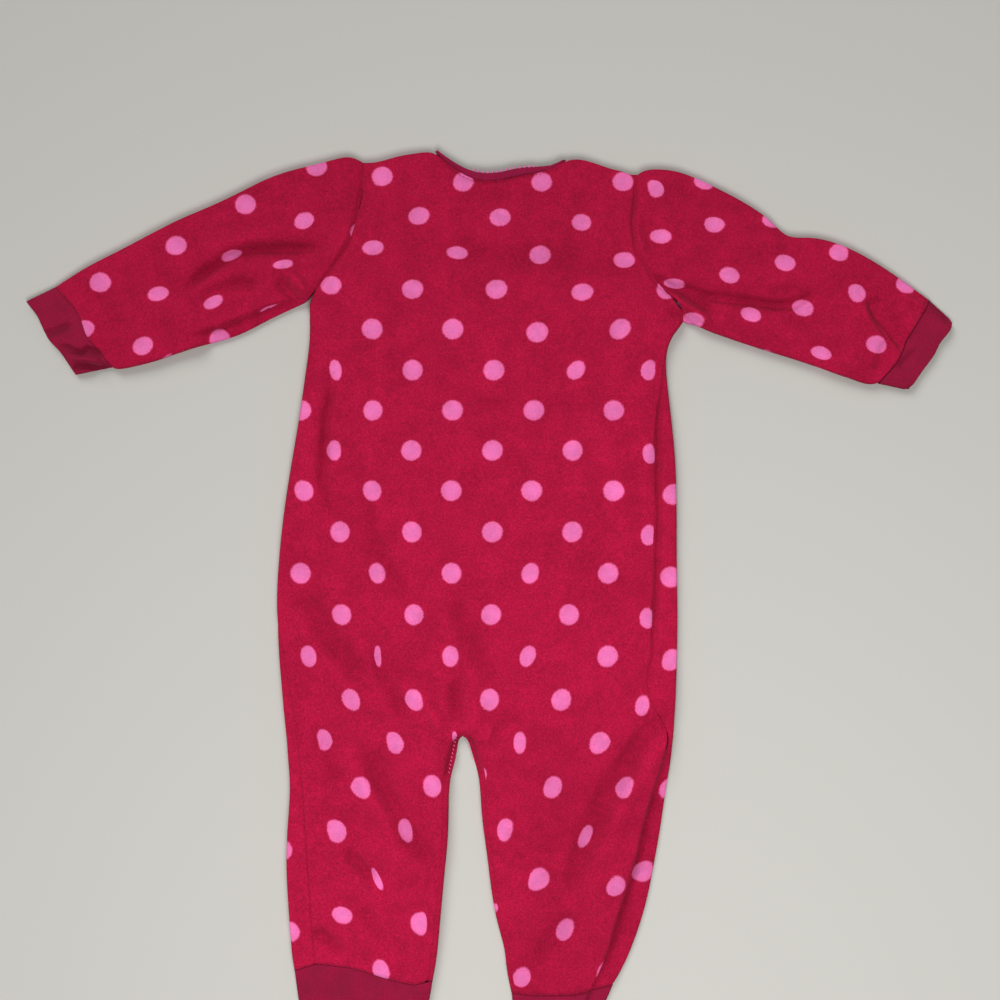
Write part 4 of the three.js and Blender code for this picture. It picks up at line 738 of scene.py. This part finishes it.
# %% Fleece with a lattice of dots
# Painted shade and painted light: the colour is darkened by up to darker in a crease and lightened by up
# to lighter on a roll, read from the crease depth map.
def painted_crease_shade(tree, colour, darker, lighter):
    crease_depth_map = add_node(tree, "UVMap", {"uv_map": "nap"}).outputs["UV"]
    deep = add_node(tree, "SeparateXYZ", {}, {0: crease_depth_map}).outputs["X"]
    painted_shade_in_creases = smoothly(tree, deep, -6 * mm, 0, 1 - darker, 1)
    painted_light_on_rolls = mapped(tree, deep, 0, 4 * mm, 1, 1 + lighter)
    return scaled(tree, colour, worked_out(tree, "MULTIPLY", painted_shade_in_creases, painted_light_on_rolls))


def from_nearest_dot(tree):
    flat = add_node(tree, "UVMap", {"uv_map": "flat_cloth"}).outputs["UV"]
    cell = (step_along * mm, 2 * step_across * mm, 1)
    nearest = []
    for shift in ((0, 0, 0), (cell[0] / 2, cell[1] / 2, 0)):
        moved = on_vector(tree, "SUBTRACT", flat, shift).outputs[0]
        half = [part / 2 for part in cell]
        wrapped = on_vector(tree, "WRAP", moved, half, [-part for part in half]).outputs[0]
        nearest.append(on_vector(tree, "LENGTH", wrapped).outputs["Value"])
    return worked_out(tree, "MINIMUM", *nearest)


def fleece_material(name, ground, shade, yoke_light, belly_light):
    material, tree, body = new_material(name)
    place = add_node(tree, "SeparateXYZ", {}, {0: body}).outputs
    # Painted light: the colour is scaled from the yoke's factor to the belly's, lighter towards the
    # belly, and painted shade takes 0.11 off the factor on the right leg.
    painted_light_falloff = smoothly(tree, place["Y"], 0.31, 0.02, yoke_light, belly_light)
    painted_shade_on_legs = smoothly(tree, place["Y"], -0.08, -0.2, 0, -0.11)
    on_the_right = smoothly(tree, place["X"], -0.02, 0.04)
    painted_light_falloff = worked_out(tree, "MULTIPLY_ADD", painted_shade_on_legs, on_the_right, painted_light_falloff)
    tufts = clouds(tree, body, 680, 5, 0.8)
    patches = clouds(tree, body, 60, 3, 0.6)
    ragged = mapped(tree, tufts, 0.3, 0.7, -1 * mm, 1 * mm)
    distance = worked_out(tree, "ADD", from_nearest_dot(tree), ragged)
    printed = smoothly(tree, distance, 9.0 * mm, 7.4 * mm)
    tone = mapped(tree, tufts, 0.36, 0.64)
    red = blended(tree, tone, linear(shade), linear(ground))
    balls = add_node(tree, "TexVoronoi", {}, {
        "Vector": body, "Scale": 620, "Randomness": 1}).outputs
    flecks = mapped(tree, balls["Distance"], 0.34, 0.1, 0, 0.3)
    chance = worked_out(tree, "GREATER_THAN", balls["Color"], 0.62)
    red = blended(tree, worked_out(tree, "MULTIPLY", flecks, chance), red, linear("D23A6A"))
    pink = blended(tree, tone, linear("D85C98"), linear("F272AC"))
    heart = smoothly(tree, distance, 7 * mm, 3 * mm, 0, 0.6)
    pink = blended(tree, heart, pink, linear("DC70B0"))
    worn = mapped(tree, patches, 0.35, 0.65, 0.9, 1.09)
    colour = scaled(tree, blended(tree, printed, red, pink), worn)
    # Painted crease shade and the painted fall-off of light are put on the colour here.
    colour = scaled(tree, painted_crease_shade(tree, colour, 0.17, 0.1), painted_light_falloff)
    height = worked_out(tree, "MULTIPLY_ADD", patches, 0.6, tufts)
    finish_material(tree, {
        "Base Color": colour, "Roughness": 0.95, "Specular IOR Level": 0.08, "Sheen Weight": 0.09,
        "Sheen Roughness": 0.4, "Sheen Tint": linear("F39CB4")}, height, 0.7, 1.4)
    return material


# Lit and shaded copies of one fleece: the body's carries the painted fall-off of light, the sleeves' is
# painted a little darker.
fleece_painted_lit = fleece_material("brushed_polyester_fleece_painted_lit_on_the_body", "BC143F", "8B0D30", 1.0, 1.065)
fleece_painted_shaded = fleece_material("brushed_polyester_fleece_painted_darker_on_the_sleeves", "BA133E", "8A0D30", 1.0, 1.0)
for node in fleece_nodes:
    cloth[node].data.materials.append(fleece_painted_shaded if "sleeve" in node else fleece_painted_lit)
print("fleece on", list(fleece_nodes))

# %% [markdown]
# ## Ribbed cotton knit
#
# Cuffs and neckband are a fine rib of cotton with some elastane. Its columns of loops run down the arm
# or leg about 1 mm apart. At this distance they are drawn 1.7 mm apart. Cotton has no nap, so the rib
# is darker, smoother and less bright at the rim than fleece. A map in metres turns the columns with
# the arm.

# %% Maps for the knit's direction
for node, way in rib_ways.items():
    place = flat_place[node]
    across = -place[:, 0] * way[1] + place[:, 1] * way[0]
    down = place[:, 0] * way[0] + place[:, 1] * way[1]
    give_map(cloth[node], across, down, "knit")
print("knit maps on", list(rib_ways))

# %% Rib with fine columns
bands_per_scale = 3.183


def rib_material(name, ground, shade, spacing):
    material, tree, body = new_material(name)
    knit = add_node(tree, "UVMap", {"uv_map": "knit"}).outputs["UV"]
    columns = add_node(tree, "TexWave", {"bands_direction": "X"}, {
        "Vector": knit, "Scale": 1 / (spacing * mm) / bands_per_scale, "Distortion": 0.8, "Detail": 2,
        "Detail Scale": 2}).outputs["Fac"]
    mixed = worked_out(tree, "MULTIPLY_ADD", columns, 0.28, clouds(tree, body, 700, 3, 0.6))
    colour = blended(tree, mapped(tree, mixed, 0.35, 0.95), linear(shade), linear(ground))
    colour = scaled(tree, colour, mapped(tree, clouds(tree, body, 70, 2), 0.3, 0.7, 0.9, 1.08))
    # Painted shade darkens the rib in its creases and painted light brightens it on its rolls.
    finish_material(tree, {
        "Base Color": painted_crease_shade(tree, colour, 0.3, 0.08), "Roughness": 0.88, "Specular IOR Level": 0.2,
        "Sheen Weight": 0.03, "Sheen Roughness": 0.5}, mixed, 0.55, 0.6)
    return material


wrist_rib = rib_material("cotton_rib_of_the_wrists", "960636", "720328", 1.7)
ankle_rib = rib_material("cotton_rib_of_the_ankles", "910535", "760329", 1.7)
neck_rib = rib_material("cotton_rib_of_the_neck", "94093D", "75042D", 1.5)
for node in rib_ways:
    rib = neck_rib if node == "neckband" else wrist_rib if "wrist" in node else ankle_rib
    cloth[node].data.materials.append(rib)
print("rib on", list(rib_ways))

# %% [markdown]
# ## Sewing thread
#
# Spun polyester thread is smooth, so it has a small soft shine. Each stitch shows as a short raised
# grain about 2.6 mm long. One stitch is a small stretched ball of a few faces, copied along a line
# and dropped on the cloth below it, because a line has dozens of stitches.

# %% Thread materials
def thread_material(name, colour):
    material, tree, body = new_material(name)
    twist = clouds(tree, body, 1400, 1)
    tint = scaled(tree, linear(colour)[:3], mapped(tree, twist, 0, 1, 0.8, 1.15))
    finish_material(
        tree, {"Base Color": tint, "Roughness": 0.7, "Specular IOR Level": 0.12}, twist, 0.4, 0.1)
    return material


red_thread = thread_material("spun_polyester_thread_red", "A51A42")
pink_thread = thread_material("spun_polyester_thread_pink", "EE77AE")
pale_thread = thread_material("spun_polyester_thread_pale_pink", "C9709A")
dark_thread = thread_material("spun_polyester_thread_dark_red", "700A2C")
print("thread colours ready")

# %% Helpers that follow a line
def evenly(line, spacing):
    walked, out = 0.0, []
    for a, b in zip(line, line[1:]):
        a, b = Vector(a), Vector(b)
        length = (b - a).length
        while walked <= length and length > 0:
            out.append((a.lerp(b, walked / length), (b - a).normalized()))
            walked += spacing
        walked -= length
    return out


def dropped(tree, x, y, from_above):
    start = Vector((x * mm, y * mm, 0.05 if from_above else -0.05))
    hit = tree.ray_cast(start, Vector((0, 0, -1 if from_above else 1)))
    return hit[0].z / mm if hit[0] is not None else None


def cloth_tree(piece):
    work = work_on(piece.data)
    found = BVHTree.FromBMesh(work)
    work.free()
    return found


def finish_piece(name, work, material):
    bmesh.ops.recalc_face_normals(work, faces=work.faces)
    mesh = mesh_from(work, name)
    mesh.polygons.foreach_set("use_smooth", [True] * len(mesh.polygons))
    mesh.materials.append(material)
    piece = put_in_scene(name, mesh)
    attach(piece, "root")
    print(name, len(mesh.polygons), "faces")
    return piece


def add_ball(work, place, way, size, lean=0, rings=(6, 4)):
    where = Matrix.Translation(Vector(place) * mm)
    turn = Matrix.Rotation(math.atan2(way.y, way.x) + lean, 4, "Z")
    matrix = where @ turn @ Matrix.Diagonal([part * mm for part in size] + [1])
    bmesh.ops.create_uvsphere(work, u_segments=rings[0], v_segments=rings[1], radius=1, matrix=matrix)


stitch, gap_between = 2.6, 0.7


def stitched_line(name, line, surface, from_above, material, thick=0.45):
    work = bmesh.new()
    for place, way in evenly([(x, y, 0) for x, y in line], stitch + gap_between):
        height = dropped(surface, place.x, place.y, from_above)
        if height is not None:
            add_ball(work, (place.x, place.y, height), way, (stitch / 2, thick / 2, thick / 2))
    return finish_piece(name, work, material)


back_surface = cloth_tree(cloth["back"])
print("cloth height at the middle of the back", dropped(back_surface, 8, 100, True))

# %% [markdown]
# ## Seams between the pieces
#
# Where two pieces are sewn, the seam's thread and the nap of both edges close the slit that is left
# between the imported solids. A fine cord of thread is laid in it: a short thin rod for each rim edge
# that has another piece close by, halfway between the two and just below the surface.

# %% Thread in the seams
def facing_rims(piece, other, inset):
    work = work_on(piece.data)
    rods = []
    for edge in work.edges:
        if len(edge.link_faces) != 2 or edge.calc_face_angle() < 0.9:
            continue
        a, b = edge.verts[0].co, edge.verts[1].co
        middle = (a + b) / 2
        near = other.find_nearest(middle, 1.4 * mm)[0]
        if near is None:
            continue
        inward = -(edge.link_faces[0].normal + edge.link_faces[1].normal).normalized()
        rods.append(((middle + near) / 2 + inward * inset * mm, b - a))
    work.free()
    return rods


def seam_thread(name, one, other, material, thick, inset):
    work = bmesh.new()
    rods = facing_rims(cloth[one], cloth_tree(cloth[other]), inset)
    for middle, way in rods:
        turn = way.to_track_quat("Z", "Y").to_matrix().to_4x4()
        bmesh.ops.create_cone(
            work, cap_ends=True, segments=5, radius1=thick / 2 * mm, radius2=thick / 2 * mm,
            depth=way.length * 1.15, matrix=Matrix.Translation(middle) @ turn)
    return finish_piece(name, work, material)


seam_pairs = {
    "fleece": [("back", "front_left"), ("back", "front_right"), ("back", "sleeve_left"),
               ("back", "sleeve_right"), ("front_left", "sleeve_left"), ("front_right", "sleeve_right"),
               ("front_left", "front_right")],
    "rib": [("cuff_wrist_left", "sleeve_left"), ("cuff_wrist_right", "sleeve_right"),
            ("cuff_ankle_left", "back"), ("cuff_ankle_left", "front_left"),
            ("cuff_ankle_right", "back"), ("cuff_ankle_right", "front_right"),
            ("neckband", "back"), ("neckband", "front_left"), ("neckband", "front_right")]}
for slot, pairs in seam_pairs.items():
    # In the rib seams the thread is dark red: partly its own colour, partly painted shade of the slit
    # under the fleece's edge.
    red = thread_material("seam_thread_in_" + slot, "A60F38" if slot == "fleece" else "6A0A2A")
    for one, other in pairs:
        thick, inset = (1.15, 0.45) if one == "back" and "front" in other else (0.72, 0.12)
        if slot == "rib":
            thick = 0.62
        seam_thread("seam_" + one + "_" + other, one, other, red, thick, inset)

# %% [markdown]
# ## The neck edge
#
# The band is sewn to the fleece and its seam is held down by a row of stitches. Its free edge is a
# picot: a scallop every 3.7 mm, about 1 mm high. Each scallop is a small flattened ball set into the
# band's edge, which is found on the band's own mesh, round the back and round the front.

# %% Picot scallops and the row of stitches below the band
def band_edges(upper):
    chosen = point_table(cloth["neckband"])[(flat_place["neckband"][:, 2] > 3.0) == upper]
    free, sewn = [], []
    for x in np.arange(chosen[:, 0].min() + 2.2, chosen[:, 0].max() - 2.2, 2.0):
        near = chosen[np.abs(chosen[:, 0] - x) < 1.6]
        if len(near):
            free.append((float(x), float(near[:, 1].max())))
            sewn.append((float(x), float(near[:, 1].min())))
    return chosen, free, sewn


def scalloped(name, upper):
    place, free, _ = band_edges(upper)
    ys = np.array([point[1] for point in free])
    soft = np.convolve(np.pad(ys, 2, mode="edge"), np.ones(5) / 5, mode="valid")
    line = [(point[0], float(y), 0) for point, y in zip(free, soft)]
    work = bmesh.new()
    for spot, way in evenly(line, 3.7):
        near = place[np.hypot(place[:, 0] - spot.x, place[:, 1] - spot.y) < 3]
        in_sight = -13 < spot.x < 36 if upper else 5.6 < abs(spot.x - 8) < 40
        if not len(near) or not in_sight:
            continue
        on_edge = (spot.x, spot.y + 0.5, float(near[:, 2].max()))
        add_ball(work, on_edge, way, (1.05, 1.15, 0.6), 0, (10, 6))
    return finish_piece(name, work, pale_thread)


picot_back = scalloped("picot_edge_back", True)
picot_front = scalloped("picot_edge_front", False)
_, _, sewn = band_edges(True)
neck_stitches = stitched_line(
    "neck_stitches", [(x, y - 1.5) for x, y in sewn[1:-1]], back_surface, True, dark_thread)

# %% [markdown]
# ## Pink overlock at the inner legs
#
# At the crotch the lower layer's seam turns out a little, and the pink thread that binds its cut edge
# shows as small loops along the inner legs. They are placed on both sides of the gap.

# %% Overlock loops
def overlock(name, lines, pitch):
    work = bmesh.new()
    for line in lines:
        for number, (place, way) in enumerate(evenly([(x, y, 0) for x, y in line], pitch)):
            heights = [dropped(tree, place.x, place.y, True) for tree in front_trees]
            heights = [height for height in heights if height is not None]
            on_cloth = (place.x, place.y, max(heights) + 0.2 if heights else 3)
            add_ball(work, on_cloth, way, (0.9, 0.36, 0.3), 0.9 if number % 2 else 0.5)
    return finish_piece(name, work, pink_thread)


front_trees = [cloth_tree(cloth["front_left"]), cloth_tree(cloth["front_right"])]
inner_loops = overlock("inner_leg_overlock", [
    [(-27.4, -120), (-29, -127), (-31, -137), (-33, -149)],
    [(-20.4, -119.4), (-18.4, -124), (-15.7, -131), (-13.8, -139)]], 3.1)

# %% [markdown]
# ## Zip
#
# The front closes with a plastic zip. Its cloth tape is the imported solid. The teeth are moulded, one
# to a side in turn, 1.4 mm apart along the middle of the tape, on the side that faces out. A tooth is a
# small block with rounded edges, made once for each place by one operator and bevelled together.

# %% Teeth along the tape
def round_edges(work, offset, segments):
    bmesh.ops.bevel(work, geom=work.edges[:], affect="EDGES", offset=offset * mm, segments=segments,
                    profile=0.5, material=-1)


tape_place = flat_place["zip_tape"]
tape_line = []
for y in np.arange(tape_place[:, 1].min() + 4, tape_place[:, 1].max() - 3, 6.0):
    near = tape_place[np.abs(tape_place[:, 1] - y) < 14]
    tape_line.append((float((near[:, 0].min() + near[:, 0].max()) / 2), float(y), 0.62))
work = bmesh.new()
for number, (place, way) in enumerate(evenly(tape_line, 1.4)):
    side = 0.8 if number % 2 else -0.8
    turn = Matrix.Rotation(math.atan2(way.y, way.x) - math.pi / 2, 4, "Z")
    size = Matrix.Diagonal((2.5 * mm, 0.95 * mm, 0.85 * mm, 1))
    where = Matrix.Translation((place + turn.to_3x3() @ Vector((side, 0, 0))) * mm)
    bmesh.ops.create_cube(work, size=1, matrix=where @ turn @ size)
round_edges(work, 0.16, 1)

acetal, tree, body = new_material("moulded_acetal_teeth")
rough = mapped(tree, clouds(tree, body, 300, 2), 0, 1, 0.3, 0.5)
finish_material(tree, {"Base Color": linear("8A1839"), "Roughness": rough, "IOR": 1.48})
zip_teeth = finish_piece("zip_teeth", work, acetal)

# %% [markdown]
# ## Zip tape
#
# Zip tape is a dense polyester weave. Its threads are 0.5 mm apart, so a fine chequer of warp and
# weft is drawn 0.9 mm apart in the bump and a little in the colour.

# %% Woven tape
tape, tree, body = new_material("woven_polyester_tape")
weave = add_node(tree, "TexChecker", {}, {
    "Vector": body, "Scale": 1 / (0.9 * mm)}).outputs["Fac"]
mixed = worked_out(tree, "MULTIPLY_ADD", weave, 0.5, clouds(tree, body, 900, 2))
tint = blended(tree, mixed, linear("6E0F2B"), linear("8C1638"))
finish_material(tree, {"Base Color": tint, "Roughness": 0.75}, mixed, 0.4, 0.3)
cloth["zip_tape"].data.materials.append(tape)
print("tape painted")

# %% [markdown]
# ## Slider
#
# The slider is die-cast zinc with a nickel plate: two plates joined by a post at the top, and a flat
# pull with a slot that lies against the outer plate. Each part is a block or disc with bevelled edges.

# %% Slider body and pull
nickel, tree, body = new_material("nickel_plated_zinc")
wear = clouds(tree, body, 500, 3)
rough = mapped(tree, wear, 0, 1, 0.22, 0.42)
looks = {"Base Color": linear("B9B6B0"), "Metallic": 1, "Roughness": rough}
finish_material(tree, looks, wear, 0.1, 0.1)
low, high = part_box("zip_slider")
middle = Vector(((low.x + high.x) / 2, (low.y + high.y) / 2, 0)) / mm


def block(work, x, y, z, wide, long, thick, narrow=1.0):
    where = Matrix.Translation((middle + Vector((x, y, z))) * mm)
    size = Matrix.Diagonal((wide * mm, long * mm, thick * mm, 1))
    made = bmesh.ops.create_cube(work, size=1, matrix=where @ size)["verts"]
    for vert in made:
        if vert.co.y / mm < middle.y + y:
            vert.co.x = (middle.x + x) * mm + (vert.co.x - (middle.x + x) * mm) * narrow
    return made


work = bmesh.new()
block(work, 0, 0, 0.95, 5.6, 8.0, 0.5, 0.8)
block(work, 0, 0, 2.1, 5.6, 8.0, 0.5, 0.8)
block(work, 0, 2.9, 1.52, 1.3, 1.8, 0.9)
for side in (-1, 1):
    block(work, side * 1.15, -0.6, 0.25, 0.7, 5.6, 0.42)
block(work, 0, 2.4, 0.25, 3.0, 1.1, 0.42)
block(work, 0, -3.4, 0.25, 3.0, 1.1, 0.42)
block(work, 0, 2.3, 0.5, 0.9, 1.9, 0.55)
round_edges(work, 0.14, 2)
slider = finish_piece("zip_slider_body", work, nickel)

# %% [markdown]
# ## Stitches beside the zip
#
# The fleece is folded to the tape and held by one row of stitches on each side, 4 mm from the teeth.
# They lie on the face that is down here, so each stitch is dropped on the cloth from below.

# %% Rows of stitches on both front halves
def beside_zip(offset):
    return [(x + offset, y) for x, y, _ in tape_line if y < tape_line[-1][1] - 2]


left_stitches, right_stitches = [
    stitched_line("zip_stitches_" + side, beside_zip(offset), tree, False, red_thread, 0.36)
    for side, offset, tree in zip(("left", "right"), (-6.6, 6.6), front_trees)]

# %% [markdown]
# ## Put each piece on the body
#
# Every piece rides on the one body and takes the place of its imported solid, which is hidden. The
# table gives the flat sizes of the paper pattern and the area of the cut cloth.

# %% Ride and replace
cuts = {
    "back": ((0.34, 0.68), 0.171),
    "front_left": ((0.19, 0.67), 0.090),
    "front_right": ((0.19, 0.67), 0.100),
    "sleeve_left": ((0.236, 0.25), 0.045),
    "sleeve_right": ((0.236, 0.25), 0.045),
    "cuff_wrist_left": ((0.155, 0.028), 0.0041),
    "cuff_wrist_right": ((0.155, 0.028), 0.0033),
    "cuff_ankle_left": ((0.225, 0.03), 0.0063),
    "cuff_ankle_right": ((0.18, 0.03), 0.0045),
    "neckband": ((0.26, 0.01), 0.0016),
    "zip_tape": ((0.01, 0.35), 0.0028),
}
for node in cuts:
    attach(cloth[node], "root")
    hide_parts(node)
    slot = "fleece" if node in fleece_nodes else "rib" if node in rib_ways else "zip_tape"
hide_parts("zip_slider")
print(len(cuts), "cuts declared")
